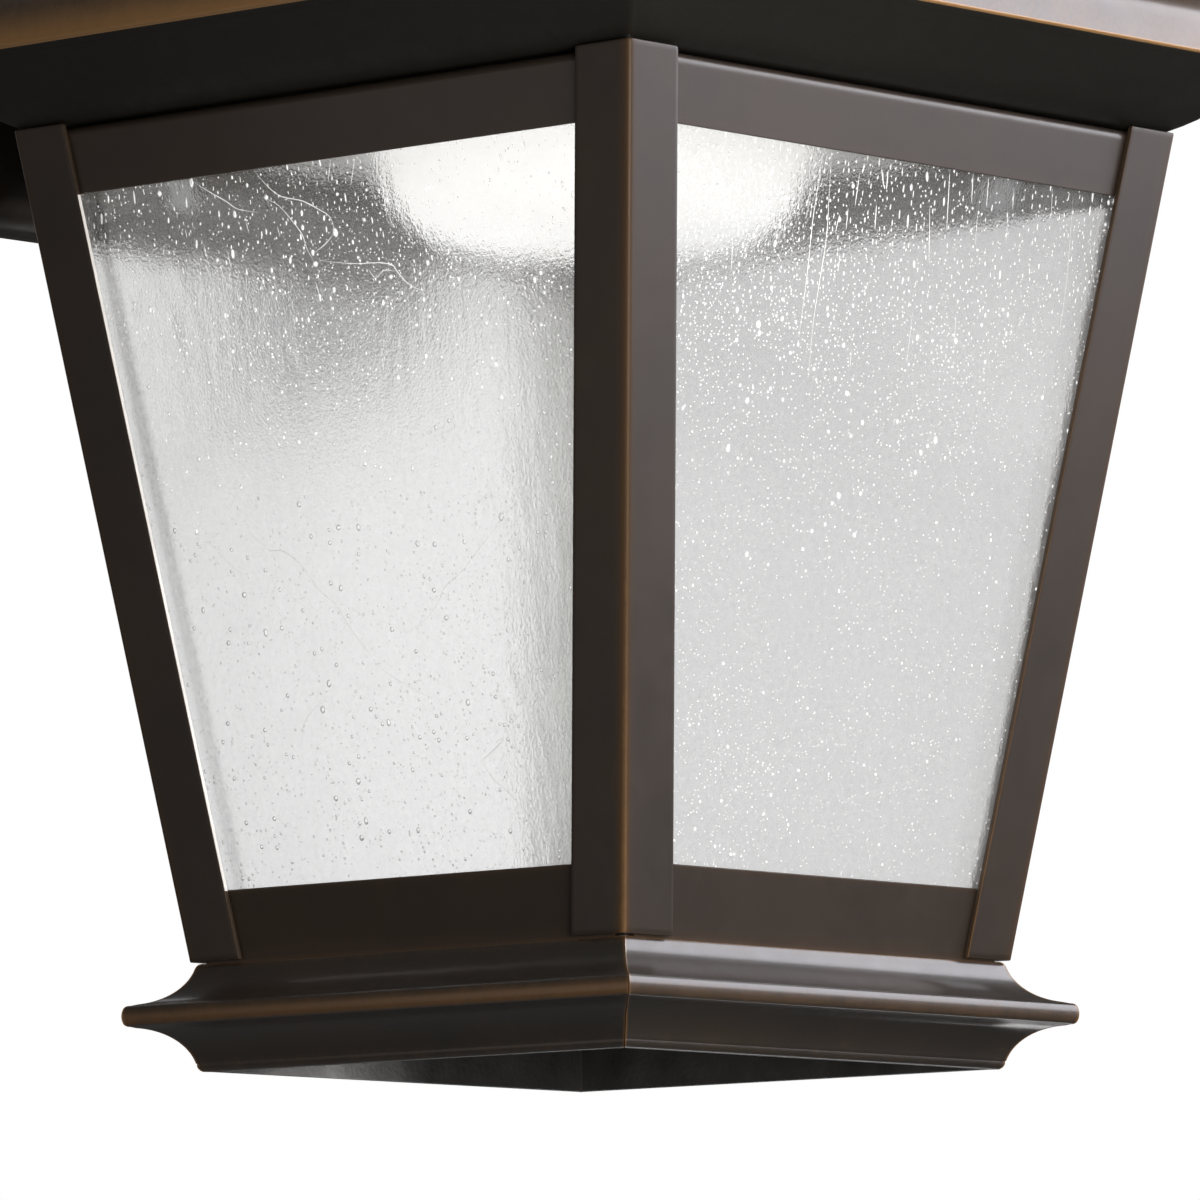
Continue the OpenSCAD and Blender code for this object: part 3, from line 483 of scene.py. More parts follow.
# ------------------------------------------------------------------ corner posts
def build_post(name, sx, sy, gain):
    b = 0.25   # small rounding on the cut edges of the sheet
    r = 1.2
    ring = []                     # (u, v, wear) inward from the outer corner
    e = (0.30, 1.7, 0.5) if (sx, sy) == (1, -1) else (0.05, 0.40, 0.25)
    ring += [(LEG - b, 0, e[0]), (LEG - 0.07, 0.07, e[1]), (LEG, b, e[2]), (LEG, SHEET - b, 0.1), (LEG - b, SHEET, 0)]
    ring += [(SHEET + 3, SHEET, 0), (SHEET, SHEET, 0), (SHEET, SHEET + 3, 0)]
    ring += [(SHEET, LEG - b, 0), (SHEET - b, LEG, 0.1), (b, LEG, 0.25), (0.07, LEG - 0.07, 0.40), (0, LEG - b, 0.05)]
    # the nearest corner is rubbed more on its left side
    c = (0.10, 0.42, 0.80, 0.95, 1.0, 1.0, 1.0, 0.95, 0.80, 0.55, 0.22, 0.08, 0.0) if (sx, sy) == (-1, -1) else (
        0.06, 0.20, 0.42, 0.7, 0.85, 0.95, 1.0, 0.95, 0.85, 0.7, 0.42, 0.20, 0.06)
    ring += [(0, LEG - 1.2, 0.0), (0, 8, 0.0), (0, 4.6, 0.0), (0, 3.2, c[0]), (0, 2.4, c[1]), (0, 1.8, c[2])]
    ring += [(p[0], p[1], k) for p, k in zip(arc(r, r, r, 180, 270, 6), c[3:10])]
    ring += [(1.8, 0, c[10]), (2.4, 0, c[11]), (3.2, 0, c[12]), (4.6, 0, 0.0), (8, 0, 0.0), (LEG - 1.2, 0, 0.0)]
    zs = [(Z0, 0.12), (Z0 + 0.2, 0)] + [(z, 0) for z in (Z0 + 1.5, 0, 20, 50, 80, 110, 140, 173.5, Z1 - 1.5)]
    zs += [(Z1 - 0.55, 0), (Z1 - 0.32, 0.03), (Z1 - 0.14, 0.09), (Z1 - 0.02, 0.20)]
    verts, wear, rings = [], [], []
    for i, (z, pull) in enumerate(zs):
        w = wh(z)
        pts = []
        for u, v, k in ring:
            # the ends are pulled in a touch for a soft edge
            u, v = u + (pull if u < SHEET / 2 else -pull), v + (pull if v < SHEET / 2 else -pull)
            pts.append(((-w + u) * -sx, (-w + v) * -sy, z))
            worn = gain * (0.62 + 0.38 * (Z1 - z) / (Z1 - Z0)) if k > 0.15 else 1.0
            wear.append(min(1, k * worn + (0.10 if i == 0 else 0)))
        rings.append(pts)
        verts += pts
    ob = make(name, verts, loft(rings, False, True), M_POST_SHADED if (sx, sy) == (1, -1) else M_POST, name.replace("_look", ""), wear=wear, angle=30)
    # the two faces turned to the inside keep a plain primer, painted pale on the back-right post and dark on the others
    # as painted light and painted shade, and the cut edge that shows at the far left is bare, with a painted highlight
    ob.data.materials.append(M_LIT_INNER if (sx, sy) == (1, 1) else M_SHADED_INNER)
    ob.data.materials.append(M_CUT_GLOW)
    n = len(ring)
    for p in ob.data.polygons:
        at = {v % n for v in p.vertices}
        if len(p.vertices) == 4 and at <= {4, 5, 6, 7, 8}:
            p.material_index = 1
        elif len(p.vertices) == 4 and at <= {8, 9, 10} and (sx, sy) == (-1, 1) and all(3 <= v // n <= 9 for v in p.vertices):
            p.material_index = 2
    return ob


build_post("corner_post_front_left_look", -1, -1, 0.60)
build_post("corner_post_front_right_look", 1, -1, 0.48)
build_post("corner_post_back_left_look", -1, 1, 0.40)
build_post("corner_post_back_right_look", 1, 1, 0.60)


# ------------------------------------------------------------------ rails
def build_rail(name, k, profile, inset, v_of=None):
    """profile: closed loop of (y, v, wear); ends follow the leaning posts."""
    fr = [-1, -0.985, -0.9, -0.5, 0, 0.5, 0.9, 0.985, 1]
    verts, wear, rings = [], [], []
    for f in fr:
        pts = []
        for y, v, w in profile:
            hw = wf(v) - inset
            pts.append(on_face((f * hw, y, v), k))
            wear.append(w)
        rings.append(pts)
        verts += pts
    return verts, loft(rings, False, True), wear


RB, RT = up(173.5), up(190.0)
top_profile = [(1.5, RB + 0.2, 0.08), (1.7, RB, 0.08), (2.8, RB, 0.0), (3.0, RB + 0.2, 0.0), (3.0, RT - 2, 0.0)]
top_profile += [(p[0], p[1], 0.0) for p in arc(3.5, RT - 2, 0.5, 180, 90, 3)[1:]]
top_profile += [(3.51, RT - 1.5, 0.0), (3.51, RT, 0.0)]
top_profile += [(p[0], p[1], 0.05) for p in arc(3.5, RT - 2, 2.0, 90, 180, 8)]
top_profile += [(1.5, RT - 3, 0.03), (1.5, RT - 6, 0.0), (1.5, RB + 4, 0.0), (1.5, RB + 1.2, 0.05)]
bot_profile = [(1.5, -0.25, 0.15), (1.75, 0, 0.15), (2.75, 0, 0.1), (3.0, -0.25, 0.0), (3.0, -18.0, 0.0), (2.9, -18.1, 0.1),
               (1.6, -18.3, 0.3), (1.5, -18.2, 0.3), (1.5, -17.0, 0.1), (1.5, -13, 0.0), (1.5, -4, 0.0), (1.5, -1.2, 0.03)]
for k, side in enumerate(("front", "right", "back", "left")):
    v1, f1, w1 = build_rail("", k, top_profile, 5.0)
    # the turned-in flange behind the bend
    fl = [(3.52, RT - 1.5, 0.0), (8.0, RT - 1.5, 0.0), (8.0, RT, 0.0), (3.52, RT, 0.0)]
    v2, f2, w2 = build_rail("", k, fl, 16.0)
    n = len(v1)
    make(f"top_rail_{side}_look", v1 + v2, f1 + [tuple(i + n for i in f) for f in f2], M_RAIL_TOP, f"top_rail_{side}",
         wear=w1 + w2, angle=32)
    v1, f1, w1 = build_rail("", k, bot_profile, 5.0)
    make(f"bottom_rail_{side}_look", v1, f1, M_RAIL_LOW, f"bottom_rail_{side}", wear=w1, angle=32)

# ------------------------------------------------------------------ base mouldings
BH, BZ = wh(Z0) - 2.7, -17.3


def with_wear(pts, w):
    return [(p[0], p[1], w) for p in pts]


mould = [(-11.8, -2, -1), (-11.8, 0, -1), (-4.0, 0, 0.1), (-2.0, 0, 0.12), (-0.6, 0, 0.14)]
mould += [(p[0], p[1], w) for p, w in zip(arc(0.2, -1.2, 1.2, 90, 20, 6), (0.15, 0.2, 0.34, 0.52, 0.44, 0.2, 0.05))]
mould += [(p[0], p[1], w) for p, w in zip(arc(13.2, 2.0, 12.1, 195, 261, 26), [0.06, 0.03] + [0.0] * 25)]
mould += [(p[0], p[1], w) for p, w in zip(arc(13.005, -11.513, 1.15, 96, 20, 8), (0.0, 0.0, 0.0, 0.0, 0.01, 0.02, 0.03, 0.05, 0.08))]
mould += [(p[0], p[1], w) for p, w in zip(arc(9.2, -12.9, 5.2, 16, -16, 8), (0.12, 0.18, 0.26, 0.34, 0.40, 0.44, 0.46, 0.46, 0.44))]
mould += [(p[0], p[1], w) for p, w in zip(arc(13.005, -14.287, 1.15, -20, -96, 8), (0.42, 0.38, 0.32, 0.24, 0.16, 0.1, 0.05, 0.02, 0.0))]
mould += [(p[0], p[1], w) for p, w in zip(arc(12.9, -27.6, 11.9, 95, 165, 26), [0.0] * 25 + [0.02, 0.04])]
mould += with_wear(arc(-0.6, -25.0, 1.8, 8, -60, 6), 0.05) + with_wear(arc(0.02, -26.2, 0.45, -60, -90, 2), 0.05)
mould += [(-2.2, -26.7, 0.05), (-2.8, -26.6, 0.05), (-3.0, -26.3, -1), (-3.0, -20.0, -1), (-3.0, -13.5, -1), (-3.0, -8.0, -1), (-3.0, -2.3, -1), (-3.2, -2, -1)]


def build_moulding(side, k):
    verts, wear, rings = [], [], []
    g = 0.05
    ends = [(0.0, 0.08), (0.12, 0.02), (0.35, 0.0), (0.9, 0.0), (2.2, 0.0), (5.0, 0.0), (12.0, 0.0)]   # (distance in from the mitre, inset of the surface)
    stations = [(-1, d, i) for d, i in ends] + [(0, 0, 0)] + [(1, d, i) for d, i in reversed(ends)]
    n = len(mould)
    # inward normals of the section, for the softened mitre edge
    nor = []
    for i in range(n):
        a, b = mould[i - 1], mould[(i + 1) % n]
        t = Vector((b[0] - a[0], b[1] - a[1]))
        t = t.normalized() if t.length > 1e-9 else Vector((1, 0))
        nor.append(Vector((t.y, -t.x)))
    area = sum(mould[i][0] * mould[(i + 1) % n][1] - mould[(i + 1) % n][0] * mould[i][1] for i in range(n))
    sgn = -1 if area > 0 else 1
    for s, d, ins in stations:
        pts = []
        for i, (px, pz, w) in enumerate(mould):
            q = nor[i] * (sgn * -ins)
            h = BH + px + q.x
            z = BZ + pz + q.y
            hx = BH + px - g
            x = 0.0 if s == 0 else s * (hx - d)
            pts.append(rot((x, -h, z), k))
            near = math.exp(-(d / 0.45) ** 2) if s else 0.0
            if side == "front" and pz < -9:
                w *= 0.3
            if 3 < i < 12 and side in ("left", "right"):
                w *= 0.25 + 0.75 * (math.exp(-d / 20) if s else 0.0)
            wear.append(0.0 if w < 0 else min(1.0, w + 0.62 * near))
        rings.append(pts)
        verts += pts
    return make(f"base_moulding_{side}_look", verts, loft(rings, False, True), M_CAST, f"base_moulding_{side}",
                wear=wear, angle=40)


for k, side in enumerate(("front", "right", "back", "left")):
    ob = build_moulding(side, k)
    # rough casting on the inner faces
    ob.data.materials.append(M_SAND)
    for p in ob.data.polygons:
        c = rot((p.center[0] / MM, (p.center[1] - AX.y) / MM, (p.center[2] - AX.z) / MM), -k % 4)
        if -c[1] - BH < -2.3 or (c[2] - BZ > -26.0 and -c[1] - BH < 3.7 and all(
                mould[v % len(mould)][2] < 0 for v in p.vertices)):
            p.material_index = 1

# ------------------------------------------------------------------ roof
RH = 122.5
RIM = Z1 + 17.1
sa, ca = math.sin(math.radians(16.6)), math.cos(math.radians(16.6))
sb, cb = math.sin(math.radians(53.6)), math.cos(math.radians(53.6))
LIP_H, LIP_R = 7.0, 9.0
RS = (RH - LIP_R + LIP_R * sa, RIM + LIP_H + LIP_R * ca)
RR = (RS[0] - 38) / (sb - sa)
RC = (RS[0] + RR * sa, RS[1] + RR * ca)
ROOF_Z = RC[1] - RR * cb
SOF = wh(Z1) - 2.8
bend = [(SOF, Z1), (SOF + 1.6, Z1 + 0.4), (SOF + 4.3, Z1 + 1.8), (SOF + 7.1, Z1 + 3.5)]
SK = (RIM - bend[3][1]) / (RH - bend[3][0])


def on_slope(h):
    return bend[3][1] + SK * (h - bend[3][0])


def slope_arc(r, n):
    return [(RC[0] - r * math.sin(math.radians(16.6 + 37 * i / n)), RC[1] - r * math.cos(math.radians(16.6 + 37 * i / n)))
            for i in range(n + 1)]


roof = [(RH - 1.8, on_slope(RH - 1.8), 0.0), (RH - 0.45, on_slope(RH - 0.45), 0.0), (RH - 0.20, on_slope(RH - 0.20) + 0.02, 1.0),
        (RH - 0.04, RIM + 0.12, 1.0), (RH, RIM + 0.35, 0.95), (RH, RIM + 0.60, 0.55), (RH, RIM + 0.9, 0.42), (RH, RIM + 2.0, 0.40),
        (RH, RIM + 3.4, 0.33), (RH, RIM + 5.0, 0.24)]
roof += [(p[0], p[1], w) for p, w in zip(arc(RH - LIP_R, RIM + LIP_H, LIP_R, 0, 73.4, 12),
                                         (0.14, 0.10, 0.07, 0.05, 0.04, 0.03, 0.02, 0.02, 0.02, 0.02, 0.02, 0.02, 0.02))]
sl = slope_arc(RR, 30)[1:]
roof += [(p[0], p[1], 0.02) for p in sl]
roof += [(30, ROOF_Z, 0.0), (5.4, ROOF_Z, 0.0), (5.4, ROOF_Z - 1.8, -1), (35, ROOF_Z - 1.8, -1)]
roof += [(p[0], p[1], -1) for p in reversed(slope_arc(RR + 1.8, 24))]
roof += [(p[0], p[1], -1) for p in reversed(arc(RH - LIP_R, RIM + LIP_H, LIP_R - 1.8, 0, 73.4, 8)[:-1])]
roof += [(RH - 1.8, RIM + 2, -1)]
shell = sweep_square("roof_shell_look", roof, M_ROOF, "roof_shell", rc=0.9, steps=(0, 0.6, 1.5, 3, 6, 14, 32), hip=1.6,
                     hip_gain=0.30, angle=34)
# the bevel under the lip and the inside take the soffit's darker copy of the bronze, which is painted shade
shell.data.materials.append(M_SOFFIT_SHADED)
worn = shell.data.attributes["wear"]
for v in shell.data.vertices:
    x, y = v.co.x, v.co.y + 0.150
    if -y > abs(x) + 0.0005:
        worn.data[v.index].value *= 0.12 if v.co.z * 1000 + 288 > RIM + 0.5 else 0.66
n_ring = len(shell.data.vertices) // len(roof)
for p in shell.data.polygons:
    rows = {v // n_ring for v in p.vertices}
    if rows == {0, 1} or all(roof[r][2] < 0 or r == 0 for r in rows):
        p.material_index = 1

sof = [(bend[0][0] - 1.2, Z1, 0.0)] + [(p[0], p[1], 0.0) for p in bend]
sof = [(wh(Z1) - 27.3, Z1, 0.0)] + sof
sof += [(p[0], p[1], 0.0) for p in dense([(bend[3][0] + 0.01, on_slope(bend[3][0] + 0.01)), (RH - 1.82, on_slope(RH - 1.82))], 4)[1:]]
sof += [(RH - 2.9, on_slope(RH - 2.9) + 1.9, -1), (bend[3][0] - 1, bend[3][1] + 1.2, -1), (SOF - 0.4, Z1 + 1.5, -1),
        (wh(Z1) - 27.3, Z1 + 1.5, -1)]
sweep_square("roof_soffit_look", sof, M_SOFFIT_SHADED, "roof_soffit", rc=0.8, hip=1.0, hip_gain=0.2, angle=36)

# ------------------------------------------------------------------ cap between the roof and the arm
CZ = ROOF_Z + 1
cap = [(9.2, 0, -1), (38, 0, 0.1), (39.7, 0.1, 0.5)]
cap += [(p[0], p[1], 0.75) for p in arc(39.6, 2, 1.6, -35, 90, 10)]
cap += [(p[0], p[1], w) for p, w in zip(arc(38.4, 17.6, 14, 268, 187, 22), [0.5, 0.3, 0.15] + [0.05] * 17 + [0.2, 0.4, 0.6])]
cap += [(22.8, 17.2, 0.7), (22.75, 17.5, 0.7), (22.4, 18.4, 0.6)]
cap += [(p[0], p[1], 0.2) for p in arc(34, 27.4, 14.4, 215, 180, 10)]
cap += [(19.6, 29.0, 0.7), (19.55, 30.2, 0.7), (19.2, 30.6, 0.6), (16.8, 32.2, 0.3), (14.6, 32.7, 0.2), (14.35, 33.2, 0.1), (13.85, 37.6, 0.5),
        (13.5, 38, 0.7), (9.15, 38, 0.4), (9.15, 28, -1), (5.2, 28, -1), (5.2, 19, -1), (9.2, 19, -1)]
cap = [(h, z + CZ, w) for h, z, w in cap]
sweep_square("roof_cap_look", cap, M_CAST, "roof_cap", rc=0.7, steps=(0, 0.6, 1.5, 3, 6), hip=1.2, hip_gain=0.55, angle=34)

# ------------------------------------------------------------------ arm
ARM_W, ARM_R, ARM_Z = 18.0, 45.0, 363.0
SOCK = CZ + 28.1


def arm_section(w, r, n=6):
    """(u, v, wear) round a rounded square."""
    h = w / 2
    out = []
    for k in range(4):
        c, s = [(1, 0), (0, 1), (-1, 0), (0, -1)][k]
        loc = [(h, -(h - r), 0.45), (h, -(h - r) + 0.9, 0.15), (h, -3, 0.0), (h, 3, 0.0), (h, (h - r) - 0.9, 0.15), (h, h - r, 0.45)]
        loc += [(h - r + r * math.cos(math.radians(a)), h - r + r * math.sin(math.radians(a)), 0.8) for a in
                [90 * i / n for i in range(1, n)]]
        out += [(p[0] * c - p[1] * s, p[0] * s + p[1] * c, p[2]) for p in loc]
    return out


def arm_stations():
    st = []
    for z in (SOCK, SOCK + 0.3, SOCK + 6, 312, 318.0):
        st.append(((0, z), 0.0))
    for i in range(1, 24):
        a = math.radians(90 * i / 24)
        st.append(((45 - 45 * math.cos(a), 318 + 45 * math.sin(a)), a))
    for y in (45.0, 60, 80, 100, 115, 123.7, 124.0):
        st.append(((y, 363.0), math.pi / 2))
    return st


def build_arm():
    outer, inner = arm_section(18, 2), arm_section(15, 0.3, 2)
    verts, wear = [], []
    rings_o, rings_i = [], []
    for (y, z), a in arm_stations():
        ro, ri = [], []
        for sec, dst in ((outer, ro), (inner, ri)):
            for u, v, w in sec:
                # u across (X), v in the plane of the bend, towards the outside of the bend
                oy, oz = -v * math.cos(a), v * math.sin(a)
                dst.append((u, y + oy, z + oz))
        rings_o.append(ro)
        rings_i.append(ri)
    for r in rings_o:
        verts += r
        wear += [p[2] for p in outer]
    faces = loft(rings_o, False, False)
    n0, no = len(verts), len(outer)
    for r in rings_i:
        verts += r
        wear += [0.0] * len(inner)
    ni = len(inner)
    faces += [tuple(i + n0 for i in f) for f in loft(rings_i, False, False)]
    return verts, faces, wear, n0, no, ni, len(rings_o)


av, af, aw, n0, no, ni, nr = build_arm()
me = bpy.data.meshes.new("arm_tmp")
me.from_pydata(av, [], af)
bm = bmesh.new()
bm.from_mesh(me)
bm.verts.ensure_lookup_table()
for o_start, i_start in ((0, n0), ((nr - 1) * no, n0 + (nr - 1) * ni)):
    loop_o = [bm.verts[o_start + i] for i in range(no)]
    loop_i = [bm.verts[i_start + i] for i in range(ni)]
    edges = [bm.edges.get((loop_o[i], loop_o[(i + 1) % no])) for i in range(no)]
    edges += [bm.edges.get((loop_i[i], loop_i[(i + 1) % ni])) for i in range(ni)]
    bmesh.ops.bridge_loops(bm, edges=edges)
av = [tuple(v.co) for v in bm.verts]
af = [tuple(v.index for v in f.verts) for f in bm.faces]
bm.free()
bpy.data.meshes.remove(me)
make("arm_tube_look", av, af, M_CAST, "arm_tube", wear=aw, angle=34)

boss = [(5.1, 0, -1), (20.5, 0, 0.2), (21, 0.4, 0.6), (21, 1.8, 0.7), (20.7, 2.2, 0.7), (20.0, 2.9, 0.5), (17.2, 3.45, 0.1), (16.8, 3.7, 0.1),
        (12.7, 5.8, 0.5), (12.3, 6.0, 0.6), (5.1, 6.0, 0.0)]


def boss_row(p):
    return L((p[0], 130 - p[2], 363 + p[1]))


sweep_square("arm_boss_look", boss, M_CAST, "arm_boss", rc=0.8, steps=(0, 0.6, 1.5, 3), hip=1.2, hip_gain=0.5,
             angle=34, to_row=boss_row)


# ------------------------------------------------------------------ wall plate (a pan with rounded front edges)
def build_plate():
    w, h, d, r, t = 86.0, 115.0, 18.5, 8.0, 2.5

    def rect(hx, hz, y, rc, n=5):
        pts = []
        for k, (sx, sz) in enumerate(((1, -1), (1, 1), (-1, 1), (-1, -1))):
            for i in range(n + 1):
                a = math.radians(-90 + 90 * k + 90 * i / n)
                pts.append((sx * (hx - rc) + rc * math.cos(a), y, sz * (hz - rc) + rc * math.sin(a)))
            # extra points along the side that follows
            nx = ((1, -1), (1, 1), (-1, 1), (-1, -1))[(k + 1) % 4]
            p = pts[-1]
            a = math.radians(-90 + 90 * (k + 1))
            q = (nx[0] * (hx - rc) + rc * math.cos(a), y, nx[1] * (hz - rc) + rc * math.sin(a))
            for f in (0.08, 0.3, 0.7, 0.92):
                pts.append(tuple(p[j] + (q[j] - p[j]) * f for j in range(3)))
        return pts

    rings, wear = [], []
    prof = [(0.0, d, 0.15), (0.0, d - 0.6, 0.3), (0.0, r + 4, 0.0), (0.0, r, 0.02)]
    prof += [(r - r * math.cos(math.radians(a)), r - r * math.sin(math.radians(a)), 0.10) for a in range(9, 90, 9)]
    prof += [(r, 0.0, 0.05), (r + 10, 0.0, 0.0), (40, 0.0, 0.0)]
    for ins, y, k in prof:
        rc = max(1.0, 3.0 - ins * 0.2)
        rings.append(rect(w - ins, h - ins, y, rc))
        wear += [k] * len(rings[-1])
    n_out = len(rings)
    inner = [(40, t, 0), (r + 10, t, 0), (r, t, 0)]
    ri = r - t
    inner += [(t + ri - ri * math.cos(math.radians(a)), t + ri - ri * math.sin(math.radians(a)), 0) for a in range(81, -1, -9)]
    inner += [(t, d - 0.6, 0), (t, d, 0.1)]
    for ins, y, k in inner:
        rc = max(0.8, 2.4 - ins * 0.2)
        rings.append(rect(w - ins, h - ins, y, rc))
        wear += [k] * len(rings[-1])
    verts = [p for r_ in rings for p in r_]
    faces = loft(rings, True)
    n = len(rings[0])
    # close the open middles left at the innermost front and back rings
    a = (n_out - 1) * n
    b = n_out * n
    faces = [f for f in faces if not (min(f) >= a and max(f) < b + n and any(i < b for i in f) and any(i >= b for i in f))]
    faces.append(tuple(a + i for i in range(n)))
    faces.append(tuple(b + i for i in range(n)))
    return verts, faces, wear


pv, pf, pw = build_plate()
plate = make("wall_plate_look", pv, pf, M_PLATE_SHADED, "wall_plate", wear=pw, angle=40,
             to_row=lambda p: (p[0] * MM, (p[1] - 20) * MM, p[2] * MM))


# ------------------------------------------------------------------ cap nuts
def build_nut(side, x):
    rows = [(0.02, 2.1, 0), (0.0, 7.6, 0.2), (0.15, 7.85, 0.5), (0.5, 8.0, 0.6), (1.2, 8.0, 0.6), (1.5, 7.8, 0.5), (1.65, 7.0, 0.2), (2.3, 6.6, 0.3),
            (2.55, 6.6, 0.6), (6.0, 6.6, 0.6), (6.3, 6.6, 0.4), (6.8, 6.45, 0.6), (7.0, 6.1, 0.5), (7.05, 4.85, 0.1), (8.5, 4.8, 0.2)]
    cz, rr = 12.6, 5.6
    a0 = math.degrees(math.asin(4.8 / rr))
    for i in range(0, 15):
        a = math.radians(180 - a0 + (a0 - 180) * i / 15)
        rows.append((cz + rr * math.cos(a), rr * math.sin(a), 0.15 + 0.5 * (i / 15) ** 2))
    n = 108
    verts, wear, rings = [], [], []
    for z, r, w in rows:
        ring = []
        for i in range(n):
            a = 2 * math.pi * i / n
            rr_ = r
            if 2.5 < z < 6.4 and r > 6.5:
                rr_ = r - (0.45 if i % 6 == 0 else 0.12 if i % 6 in (1, 5) else 0.0)
            ring.append((rr_ * math.cos(a), rr_ * math.sin(a), z))
            wear.append(w - (0.5 if rr_ < r - 0.2 else 0))
        rings.append(ring)
        verts += ring
    faces = loft(rings, False, False)
    # blind bore and closed dome
    base = len(verts)
    depth = 10.0
    for i in range(n):
        a = 2 * math.pi * i / n
        verts.append((2.1 * math.cos(a), 2.1 * math.sin(a), depth))
        wear.append(0)
    for i in range(n):
        j = (i + 1) % n
        faces.append((i, j, base + j, base + i))
    faces.append(tuple(base + i for i in range(n)))
    top = (len(rows) - 1) * n
    verts.append((0, 0, cz + rr))
    wear.append(0.65)
    for i in range(n):
        faces.append((top + i, top + (i + 1) % n, len(verts) - 1))
    return make(f"cap_nut_{side}_look", verts, faces, M_CAST, f"cap_nut_{side}", body=f"{side}_nut", wear=wear, angle=34,
                to_row=lambda p: ((x + p[0]) * MM, (-20.25 - p[2]) * MM, p[1] * MM))


build_nut("left", -60)
build_nut("right", 60)

# ------------------------------------------------------------------ opal bowl
TZ = Z1 - 1.2
bowl = [(0.0, -28.7), (6, -28.66), (12, -28.55), (18, -28.3), (24, -27.9)]
bowl += arc(53.5 - 21, -28.7 + 23, 21, -77, 0, 20)
bowl += [(53.5, -2.3), (53.7, -2.1), (56.6, -2.1), (56.8, -1.9), (56.8, 0), (51.3, 0)]
bowl += arc(53.5 - 21, -28.7 + 23, 18.8, 0, -77, 16)
bowl += [(24, -25.7), (12, -26.35), (6, -26.46), (0.0, -26.5)]


def lathe(name, prof, mat, replaces, z0, n=96, angle=38):
    verts, faces = [], []
    idx = []
    for r, z in prof:
        if r < 1e-6:
            idx.append([len(verts)])
            verts.append((0, 0, z + z0))
        else:
            idx.append(list(range(len(verts), len(verts) + n)))
            verts += [(r * math.cos(2 * math.pi * i / n), r * math.sin(2 * math.pi * i / n), z + z0) for i in range(n)]
    for a, b in zip(idx, idx[1:]):
        for i in range(n):
            j = (i + 1) % n
            if len(a) == 1:
                faces.append((a[0], b[j], b[i]))
            elif len(b) == 1:
                faces.append((a[i], a[j], b[0]))
            else:
                faces.append((a[i], a[j], b[j], b[i]))
    return make(name, verts, faces, mat, replaces, angle=angle)


lathe("opal_bowl_look", bowl, M_OPAL, "opal_bowl", TZ)


# ------------------------------------------------------------------ glass panes with seeds
def ico(level):
    bm = bmesh.new()
    bmesh.ops.create_icosphere(bm, subdivisions=level, radius=1.0)
    v = [tuple(x.co) for x in bm.verts]
    f = [tuple(x.index for x in y.verts) for y in bm.faces]
    bm.free()
    return v, f


ICO1, ICO2, ICO3 = ico(1), ico(2), ico(3)
GY, GT = 3.3, 3.0
